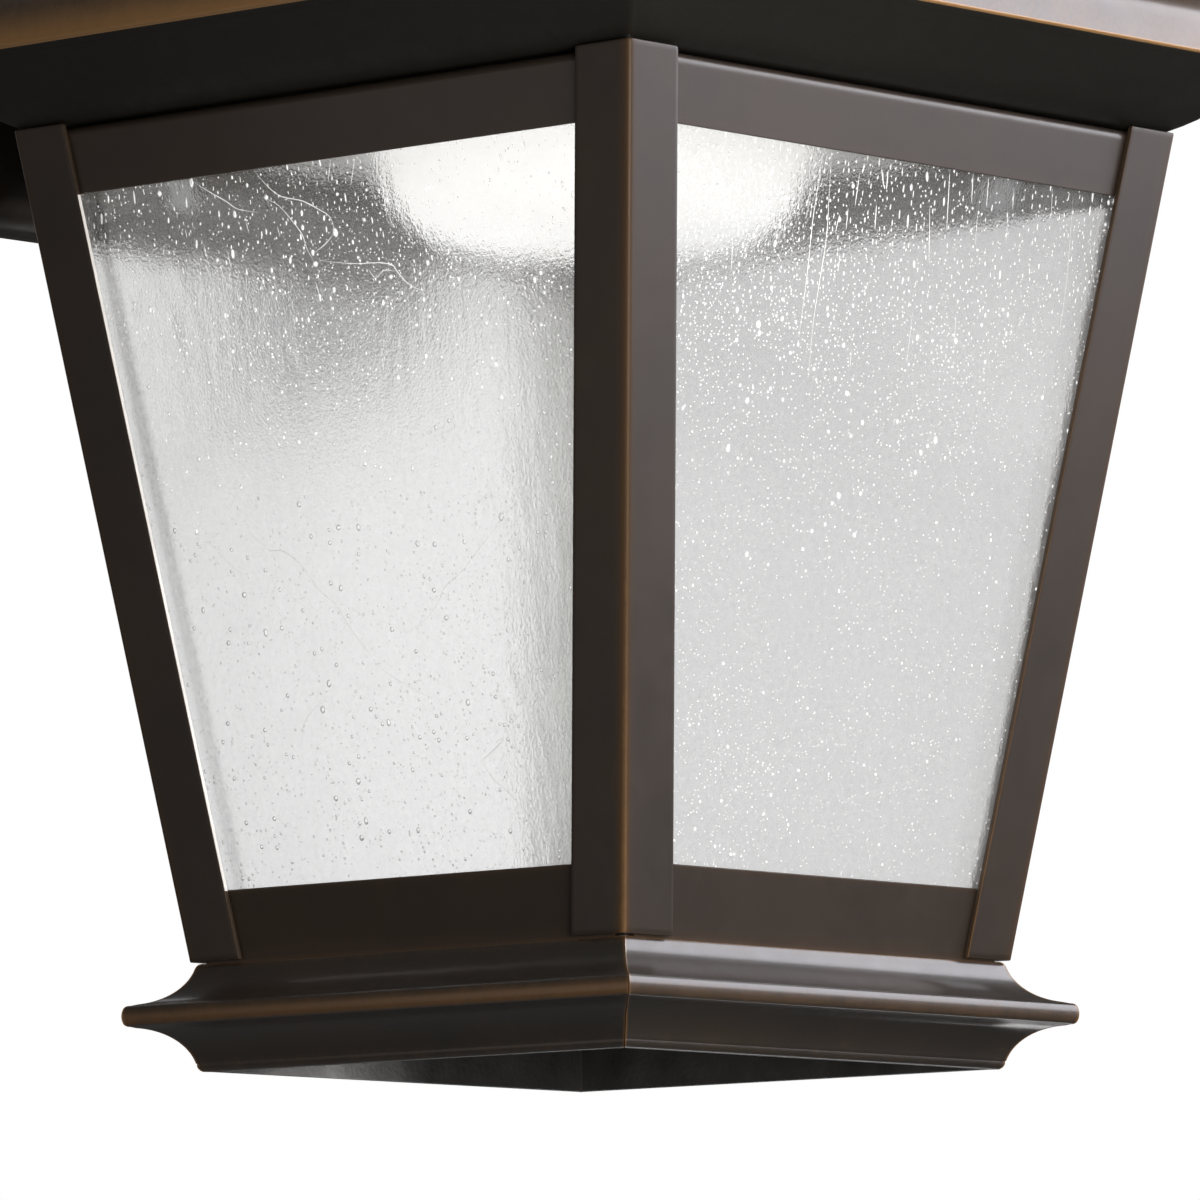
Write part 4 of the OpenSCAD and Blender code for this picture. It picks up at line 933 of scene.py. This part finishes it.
# striae: points (x across, v up) on a pane, in mm, and a radius; then the larger seeds
HAIRS = {
    "left": [
        ([(-49.2, 104.1), (-46.3, 100.5), (-43.7, 97.4), (-42.7, 94), (-40.9, 90.6), (-39.2, 86.7), (-36.2, 84), (-33.6,
          82.3), (-29.7, 81.9), (-25.5, 79.5), (-21.6, 75.5), (-18.8, 71.6), (-14.2, 68), (-11.9, 64.9), (-9.1, 60.7), (-6.3,
          57.2), (-2.4, 53.2), (1.5, 49.3), (6.6, 46.5), (11.8, 43.9), (15.4, 42.2), (17.3, 39.7), (19, 36.7)], 0.13),
        ([(-33.7, 81.8), (-32.1, 77.1), (-32.4, 74.7), (-34.6, 71.6), (-35.9, 68.4), (-36.7, 64.3)], 0.08),
        ([(-55.7, 87.2), (-52.1, 84), (-49.1, 81.3), (-46, 78.6), (-42.3, 76.9)], 0.08),
        ([(-40.7, 103.8), (-38.8, 101.5), (-37.4, 99.4)], 0.12),
        ([(49.6, 103), (46.4, 99.6), (43.3, 96.7)], 0.16),
        ([(44.5, 85.7), (40.7, 81.6), (35.1, 77.2), (29, 72.4), (23.1, 69.2), (19.7, 65), (15.4, 61.7), (10.1, 59.3)], 0.1),
        ([(54.5, 45.6), (47.3, 40.1), (42.4, 36.4), (37.7, 33.5), (36.2, 30.7), (31.5, 27.8), (29.7, 26.7), (30.4, 23.9),
          (32.7, 21.3), (36.6, 18.2), (40.4, 14.4), (43, 9.8), (48.3, 4.6)], 0.13),
        ([(-22.8, 43.6), (-27.8, 39.8), (-29.7, 34.2)], 0.09),
        ([(-47, 174.9), (-41.7, 171.7), (-36.4, 168.8), (-32.2, 166.3), (-25.1, 164.8)], 0.16),
        ([(-26, 175.6), (-22.4, 171.5), (-17.8, 168.1), (-10.8, 166.2), (-5.6, 163.6), (-2, 161.2), (-1.1, 157.5)], 0.17),
        ([(-23.5, 168.3), (-18.7, 165.8), (-14.8, 161.7), (-12, 158.1), (-10.8, 154.4), (-8.6, 150.5)], 0.15),
        ([(-1.1, 157.5), (-4.6, 155), (-8.7, 153.3)], 0.15),
        ([(-7.3, 151.3), (-0.8, 150.1), (5.7, 149.2), (12.3, 148.8), (16.6, 147.8), (18.3, 145.8), (20.9, 143.1), (24.5,
          141.1), (28.8, 140.3)], 0.18),
        ([(8.8, 147.5), (10.7, 145.3), (13.7, 146.7), (17.5, 146.3)], 0.15),
        ([(8.4, 175.6), (5.6, 167.8)], 0.16),
        ([(-0.1, 174.9), (-1.6, 169.7)], 0.16),
        ([(15.9, 170), (16.6, 159.3)], 0.18),
        ([(-45.3, 159), (-44.3, 154)], 0.14),
        ([(-37.6, 156.6), (-36.7, 151.6)], 0.14),
        ([(-40.7, 155.3), (-39.4, 148.5)], 0.12),
        ([(-51, 163.3), (-50.7, 160.8)], 0.15),
        ([(-20, 161), (-19.3, 158.1)], 0.14),
        ([(-30.4, 163.3), (-29.5, 159.9)], 0.12),
        ([(-9.2, 146.4), (-8.1, 141.8)], 0.13),
    ],
    "front": [
        ([(-26, 175.6), (-26.4, 166.6), (-27, 158.4), (-27, 148.7), (-27.2, 139.8), (-27.8, 128.4)], 0.16),
        ([(-22.8, 175.1), (-22, 164.6), (-21.4, 154.2), (-22.2, 143.5), (-23, 132.9), (-22.7, 119.1)], 0.15),
        ([(-11.6, 171), (-12.1, 162.4)], 0.22),
        ([(-14.5, 162.2), (-14.5, 156.5)], 0.2),
        ([(-17.4, 160.3), (-18.4, 155.3)], 0.18),
        ([(21.9, 175.5), (23.1, 159.5)], 0.2),
        ([(15.7, 166.2), (17.8, 150.8)], 0.18),
        ([(30.8, 175.6), (31.4, 167.8)], 0.22),
        ([(36.9, 175.4), (37.2, 167.6)], 0.17),
        ([(47, 173.6), (47.3, 167.8)], 0.15),
        ([(-55.2, 150.7), (-54.7, 141.9)], 0.16),
        ([(-3.7, 173.1), (-2.1, 168.4)], 0.3),
        ([(-1.2, 173), (-1, 167.7)], 0.3),
        ([(-4.2, 164.1), (-3.8, 157.6)], 0.24),
        ([(-15.8, 150.7), (-15.8, 146.2)], 0.16),
        ([(61.7, 175.2), (62.5, 167.7)], 0.1),
        ([(70, 174.4), (70.9, 152.7), (70, 137.6)], 0.07),
        ([(34.1, 167.3), (34.4, 157.4)], 0.1),
        ([(45.5, 168.5), (46.2, 158.6)], 0.08),
        ([(13.4, 140.5), (13.2, 125.7)], 0.08),
        ([(29.8, 140.4), (30.3, 132.2)], 0.1),
        ([(-8, 128.6), (-7.7, 122.9)], 0.1),
    ],
}
BIG = {
    "left": [
        (-54.6, 106.6), (-20.3, 108), (-22.7, 92.8), (-58.3, 88.8), (-10.5, 86.1), (-3.9, 85.6), (15.3, 80.1), (20.9, 79.5),
          (-4.6, 79.1), (-11.5, 71.3), (-44.4, 72.1), (19.1, 68.5), (-58.5, 69.4), (-38.1, 62.4), (-32.9, 63.1), (-51.1, 60.7),
          (-15.6, 52.8), (-19, 48.4), (-21.8, 42.2), (-4.4, 39.3), (-0.5, 37.6), (26.4, 40.7), (37.3, 34.5), (37.9, 31), (-35.7,
          32.1), (-12.7, 24), (-20.5, 20.3), (-41.8, 16.6), (-11.3, 14.2), (5.5, 10.9), (-13.2, 10.2), (-3.9, 11.1), (23, 14.4),
          (48.1, 76.6), (22, 61.6), (43, 84.4), (-20.3, 108.2), (25.2, 107.5), (-63.2, 118.5), (-47.6, 174.5), (-58.8, 172.9),
          (-1.1, 157.5), (-8.6, 150.5), (-22.9, 168.3), (-34.1, 165.3),
    ],
    "front": [
        (-15.1, 83.1), (-17.9, 78.5), (-38.3, 75.7), (-44, 112.4), (-48.8, 100.5), (-40.4, 98.6), (-45.2, 98.4), (0.7, 83.4),
          (1.3, 93.7), (-6.6, 92.5), (-4.6, 107.3), (-0.8, 110.9), (27.1, 109), (22.2, 105.5), (31.8, 105), (21.1, 100.5),
          (37.4, 87.8), (31.9, 84.7), (52.2, 86.3), (-50, 126.5), (-42.7, 131), (-34.1, 133.1), (-18.1, 137.2), (-34.9, 137.8),
          (22.2, 133.1), (16.5, 133.4), (31.1, 133.9), (-7.7, 117.4), (-58.6, 158.6), (-62.7, 162.2), (-43.3, 168.3), (66.5,
          123.1), (8.2, 169.5),
    ],
}
V0, V1 = -8.0, up(173.5) + 7.6


def build_pane(side, k, seed, count):
    rnd = random.Random(seed)
    verts, faces = [], []
    # the slab, with softened cut edges
    b = 0.35
    prof = [(GY + b, V0), (GY + GT - b, V0), (GY + GT, V0 + b), (GY + GT, V1 - b), (GY + GT - b, V1), (GY + b, V1), (GY, V1 - b), (GY, V0 + b)]
    rings = []
    for f, e in ((-1, b), (-1, 0), (1, 0), (1, b)):
        ring = []
        for y, v in prof:
            hw = wf(v) - 7.2
            if e:    # end faces are a little smaller than the slab
                y2 = min(max(y, GY + b), GY + GT - b)
                ring.append((f * hw, y2, v))
            else:
                ring.append((f * (hw - b), y, v))
        rings.append(ring)
    uv_of = [p for r in rings for p in r]
    for r in rings:
        verts += [on_face(p, k) for p in r]
    faces += loft(rings, False, True)
    n_slab, n_slab_v = len(faces), len(verts)
    # seeds: small flattened bubbles inside the glass, longer and more crowded towards the top
    cells = {}

    def bubble(x, v, rx, rv, ry, y, tilt):
        iv, iff = ICO3 if max(rx, rv) > 1.0 else (ICO2 if max(rx, rv) > 0.42 else ICO1)
        o = len(verts)
        c, s = math.cos(tilt), math.sin(tilt)
        for px, py, pz in iv:
            a, d = px * rx, pz * rv
            verts.append(on_face((x + a * c - d * s, y + py * ry, v + a * s + d * c), k))
        # turned inside out: the cavity's surface faces into the bubble
        faces.extend(tuple(reversed([i + o for i in f])) for f in iff)
        cells.setdefault((round(x / 3), round(v / 3)), []).append((x, v, max(rx, rv)))

    def free(x, v, r):
        a, b2 = round(x / 3), round(v / 3)
        return all((x - q[0]) ** 2 + (v - q[1]) ** 2 > (r + q[2]) ** 2
                   for da in (-1, 0, 1) for db in (-1, 0, 1) for q in cells.get((a + da, b2 + db), ()))

    for x, v in BIG.get(side, ()):
        r = rnd.uniform(0.48, 0.80)
        st = 1.0 + rnd.random() ** 2 * (1.6 if v > 140 else 0.5)
        if free(x, v, r * st):
            bubble(x, v, r, r * st, r * 0.8, GY + 1.3 + rnd.uniform(-0.3, 0.5), rnd.gauss(0, 0.2))
    tries = 0
    made = 0
    while made < count and tries < count * 30:
        tries += 1
        v = rnd.uniform(-3, up(173.5) + 3)
        x = rnd.uniform(-1, 1) * (wf(v) - 12)
        # they crowd towards the top and towards one side, and gather in clumps
        high = math.exp(-((v - 150) / 38) ** 2)
        dens = (0.30 + 0.70 * high) * (0.75 - 0.25 * x / 90 if side == "front" else 0.85)
        cl = noise.noise(Vector((x * 0.03 + seed * 7.1, v * 0.03, seed * 1.7)))
        if rnd.random() > dens * (1.0 + 0.7 * cl):
            continue
        if side == "left" and x > 20 and v > 154 and rnd.random() > 0.30:
            continue
        u = rnd.random()
        if u < 0.70:
            r = rnd.uniform(0.14, 0.23) if side == "left" else rnd.uniform(0.20, 0.30)
        elif u < 0.955:
            r = rnd.uniform(0.27, 0.38)
        else:
            r = rnd.uniform(0.40, 0.62)
        stretch = 1.0 + rnd.random() ** 2 * (0.4 + 4.5 * max(0.0, (v - 120) / 55) ** 1.5)
        rv = r * stretch ** 0.8
        rx = r / stretch ** 0.25
        if not free(x, v, max(rx, rv) + 0.08):
            continue
        ry = min(rx * 0.9, 1.1)
        y = rnd.uniform(GY + ry + 0.12, GY + GT - ry - 0.12)
        bubble(x, v, rx, rv, ry, y, rnd.gauss(0, 0.08))
        made += 1
    n_hair = len(faces)
    # long thin curled striae, as fine hollow hairs
    for path, r in HAIRS.get(side, ()):
        pts = []
        for a, b2, c2, d2 in zip([path[0]] + path[:-2], path[:-1], path[1:], path[2:] + [path[-1]]):
            for i in range(6):
                q = i / 6
                pts.append(tuple(0.5 * ((2 * b2[j]) + (c2[j] - a[j]) * q + (2 * a[j] - 5 * b2[j] + 4 * c2[j] - d2[j]) * q * q
                                        + (3 * b2[j] - a[j] - 3 * c2[j] + d2[j]) * q ** 3) for j in range(2)))
        pts.append(path[-1])
        o, nh = len(verts), 6
        for i, (x, v) in enumerate(pts):
            x0, v0 = pts[max(0, i - 1)]
            x1, v1 = pts[min(len(pts) - 1, i + 1)]
            tx, tv = x1 - x0, v1 - v0
            tl = math.hypot(tx, tv) or 1.0
            rr = 0.85 * r * min(1.0, 0.25 + 2.0 * min(i, len(pts) - 1 - i) / len(pts))
            for j in range(nh):
                ang = 2 * math.pi * j / nh
                verts.append(on_face((x - tv / tl * rr * math.cos(ang), GY + 0.9 + rr * math.sin(ang), v + tx / tl * rr * math.cos(ang)), k))
        for i in range(len(pts) - 1):
            for j in range(nh):
                a, b3 = o + i * nh + j, o + i * nh + (j + 1) % nh
                faces.append((a, b3, b3 + nh, a + nh))
        faces.append(tuple(o + j for j in range(nh)))
        faces.append(tuple(reversed([o + (len(pts) - 1) * nh + j for j in range(nh)])))
    me = bpy.data.meshes.new(f"glass_{side}_look")
    me.from_pydata([L(p) for p in verts], [], faces)
    # the slab's own faces must point outward; the seeds' faces already point into the seeds
    bm = bmesh.new()
    bm.from_mesh(me)
    bm.faces.ensure_lookup_table()
    bmesh.ops.recalc_face_normals(bm, faces=[bm.faces[i] for i in range(n_slab)])
    bm.to_mesh(me)
    bm.free()
    me.materials.append({"left": M_GLASS_L, "back": M_GLASS}.get(side, M_GLASS_SHADED))
    me.materials.append(M_SEED)
    me.materials.append(M_SEED_SOFT)
    me.materials.append(M_SEED_MID)
    # a flat map: the slab's two faces side by side, the seeds in a corner patch of their own
    uv = me.uv_layers.new(name="OFBake")
    v_top, w_top = up(173.5) + 8, wf(up(173.5)) + 2
    for p in me.polygons:
        p.use_smooth = True
        seed_face = p.index >= n_slab
        if seed_face:
            # the painted glow is weakest on the seeds low in the left pane, middling on the left pane's other dimmed
            # seeds and on the striae off the front pane, and full elsewhere
            low = side == "left" and p.center.z < -0.288 + 0.001 * (104 + 30 * noise.noise(p.center * 60.0))
            dim = side == "left" and (p.index >= n_hair or noise.noise(p.center * 230.0) > -0.22)
            p.material_index = 2 if low else (3 if dim or (side != "front" and p.index >= n_hair) else 1)
        for n, li in enumerate(p.loop_indices):
            if seed_face:
                a = 2 * math.pi * n / len(p.vertices)
                uv.data[li].uv = (0.97 + 0.018 * math.cos(a), 1.04 - 0.07 * p.material_index + 0.018 * math.sin(a))
            else:
                q = uv_of[me.loops[li].vertex_index]
                side_u = 0.02 if q[1] < GY + GT / 2 else 0.50
                uv.data[li].uv = (side_u + 0.42 * (q[0] + w_top) / (2 * w_top), 0.03 + 0.92 * (q[2] + 8) / (v_top + 8))
    me.set_sharp_from_angle(angle=math.radians(30))
    for e in me.edges:
        if e.vertices[0] >= n_slab_v:
            e.use_edge_sharp = False
    ob = bpy.data.objects.new(f"glass_{side}_look", me)
    scene.collection.objects.link(ob)
    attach(ob, "lantern")
    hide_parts(f"glass_{side}")
    return ob


for k, (side, n) in enumerate((("front", 5200), ("right", 1300), ("back", 1300), ("left", 5400))):
    build_pane(side, k, 11 + k * 5, n)

# ------------------------------------------------------------------ floor, world and lights
FLOOR_Z = -3.2
me = bpy.data.meshes.new("floor")
me.from_pydata([(-6, -6, FLOOR_Z), (6, -6, FLOOR_Z), (6, 6, FLOOR_Z), (-6, 6, FLOOR_Z)], [], [(0, 1, 2, 3)])
floor = bpy.data.objects.new("floor", me)
scene.collection.objects.link(floor)
floor_mat = plain("floor_pale", (0.80, 0.80, 0.79), (0.6, 0.8), 0.0, 60, 0.0005, 0.02)
# the floor reads as pale where it is looked at, adds nothing to the light on the lamp, and is clear from below
nt = floor_mat.node_tree
pale = node(nt, "ShaderNodeEmission", {"Color": (0.83, 0.83, 0.82, 1), "Strength": 1.0})
lp = node(nt, "ShaderNodeLightPath")
geo = node(nt, "ShaderNodeNewGeometry")
see = node(nt, "ShaderNodeBsdfTransparent")
m1, m2 = node(nt, "ShaderNodeMixShader"), node(nt, "ShaderNodeMixShader")
nt.links.new(math_node(nt, "MAXIMUM", lp.outputs["Is Camera Ray"], lp.outputs["Is Transmission Ray"]), m1.inputs["Fac"])
nt.links.new(next(n for n in nt.nodes if n.type == "BSDF_PRINCIPLED").outputs[0], m1.inputs[1])
nt.links.new(pale.outputs[0], m1.inputs[2])
nt.links.new(geo.outputs["Backfacing"], m2.inputs["Fac"])
nt.links.new(m1.outputs[0], m2.inputs[1])
nt.links.new(see.outputs[0], m2.inputs[2])
nt.links.new(m2.outputs[0], next(n for n in nt.nodes if n.type == "OUTPUT_MATERIAL").inputs["Surface"])
me.materials.append(floor_mat)

world = bpy.data.worlds.new("studio")
scene.world = world
world.use_nodes = True
wt = world.node_tree
wt.nodes.clear()
wo = wt.nodes.new("ShaderNodeOutputWorld")
seen = node(wt, "ShaderNodeBackground")
seen.inputs["Color"].default_value = (1, 1, 1, 1)
seen.inputs["Strength"].default_value = 1.0
lit = node(wt, "ShaderNodeBackground")
lit.inputs["Color"].default_value = (0.96, 0.98, 1, 1)
lit.inputs["Strength"].default_value = 0.06
lp = node(wt, "ShaderNodeLightPath")
mx = node(wt, "ShaderNodeMixShader")
either = math_node(wt, "MAXIMUM", lp.outputs["Is Camera Ray"], lp.outputs["Is Transmission Ray"])
wt.links.new(either, mx.inputs["Fac"])
wt.links.new(lit.outputs[0], mx.inputs[1])
wt.links.new(seen.outputs[0], mx.inputs[2])
wt.links.new(mx.outputs[0], wo.inputs["Surface"])


def area(name, pos, target, sx, sy, power, col=(1, 1, 1)):
    ld = bpy.data.lights.new(name, "AREA")
    ld.shape = "RECTANGLE"
    ld.size, ld.size_y = sx, sy
    ld.energy = power
    ld.color = col
    ob = bpy.data.objects.new(name, ld)
    scene.collection.objects.link(ob)
    ob.location = pos
    ob.rotation_euler = (Vector(target) - Vector(pos)).to_track_quat("-Z", "Y").to_euler()
    ob.visible_camera = False
    ob.visible_transmission = False
    return ob


C = Vector((0, -0.15, -0.20))
area("key_right", C + Vector((0.864, -0.774, 0.417)), C, 1.5, 0.63, 15.5, (0.96, 0.975, 1.05))
area("key_low", C + Vector((0.894, -0.80, -0.06)), C, 1.5, 0.35, 0.25, (0.96, 0.975, 1.05))
area("top_soft", C + Vector((-0.1, -0.5, 1.9)), C, 1.6, 1.6, 13)
area("fill_left", C + Vector((-0.36, -0.64, -0.08)), C, 0.4, 0.4, 3.7, (1.0, 0.96, 0.90))
area("rim_left", C + Vector((-1.5, 1.0, -0.20)), C, 0.5, 0.8, 0.55, (1.0, 0.96, 0.92))
area("back_soft", C + Vector((0.5, 1.7, 0.35)), C, 1.2, 1.2, 3.0)
area("low_back", C + Vector((0.75, 0.47, -0.55)), C + Vector((0, 0, -0.12)), 0.4, 0.2, 0.55)
# a narrow soft beam from below on the left half of the recess in the base
recess = area("recess_low", (-0.060, -0.231, -0.488), (-0.030, -0.071, -0.328), 0.035, 0.03, 0.013)
recess.data.spread = math.radians(18)

# a soft dark flag behind the lantern, which only shows through the glass: painted shade in the view through the left
# pane
me = bpy.data.meshes.new("flag")
me.from_pydata([(-3, -3, 0), (3, -3, 0), (3, 3, 0), (-3, 3, 0)], [], [(0, 1, 2, 3)])
mat, nt, b, out = nodes_of("flag_painted_shade")
sep = node(nt, "ShaderNodeSeparateXYZ")
nt.links.new(coords(nt), sep.inputs[0])
r2 = math_node(nt, "ADD", math_node(nt, "MULTIPLY", sep.outputs["X"], sep.outputs["X"]),
               math_node(nt, "MULTIPLY", sep.outputs["Y"], sep.outputs["Y"]))
fac = math_node(nt, "MULTIPLY", math_node(nt, "EXPONENT", math_node(nt, "MULTIPLY", r2, -1.0)), 1.0)
b.inputs["Base Color"].default_value = (0.02, 0.02, 0.02, 1)
b.inputs["Roughness"].default_value = 1.0
see = node(nt, "ShaderNodeBsdfTransparent")
mx = node(nt, "ShaderNodeMixShader")
nt.links.new(fac, mx.inputs["Fac"])
nt.links.new(see.outputs[0], mx.inputs[1])
nt.links.new(b.outputs[0], mx.inputs[2])
nt.links.new(mx.outputs[0], out.inputs["Surface"])
me.materials.append(mat)
flag = bpy.data.objects.new("flag", me)
scene.collection.objects.link(flag)
px = 2.9 / 9655.99
flag.matrix_world = (cam.matrix_world @ Matrix.Translation(((325 - 600) * px, (600 - 289) * px, -2.9))
                     @ Matrix.Rotation(math.radians(-28), 4, "Z") @ Matrix.Diagonal((90 * px, 112 * px, 1, 1)))
flag.visible_camera = flag.visible_diffuse = flag.visible_glossy = flag.visible_shadow = False

scene.cycles.max_bounces = 24
scene.cycles.transmission_bounces = 24
scene.cycles.glossy_bounces = 8
scene.cycles.transparent_max_bounces = 24

scene.view_settings.view_transform = "Standard"
scene.view_settings.look = "None"
scene.view_settings.exposure = 0.0
scene.view_settings.gamma = 1.0
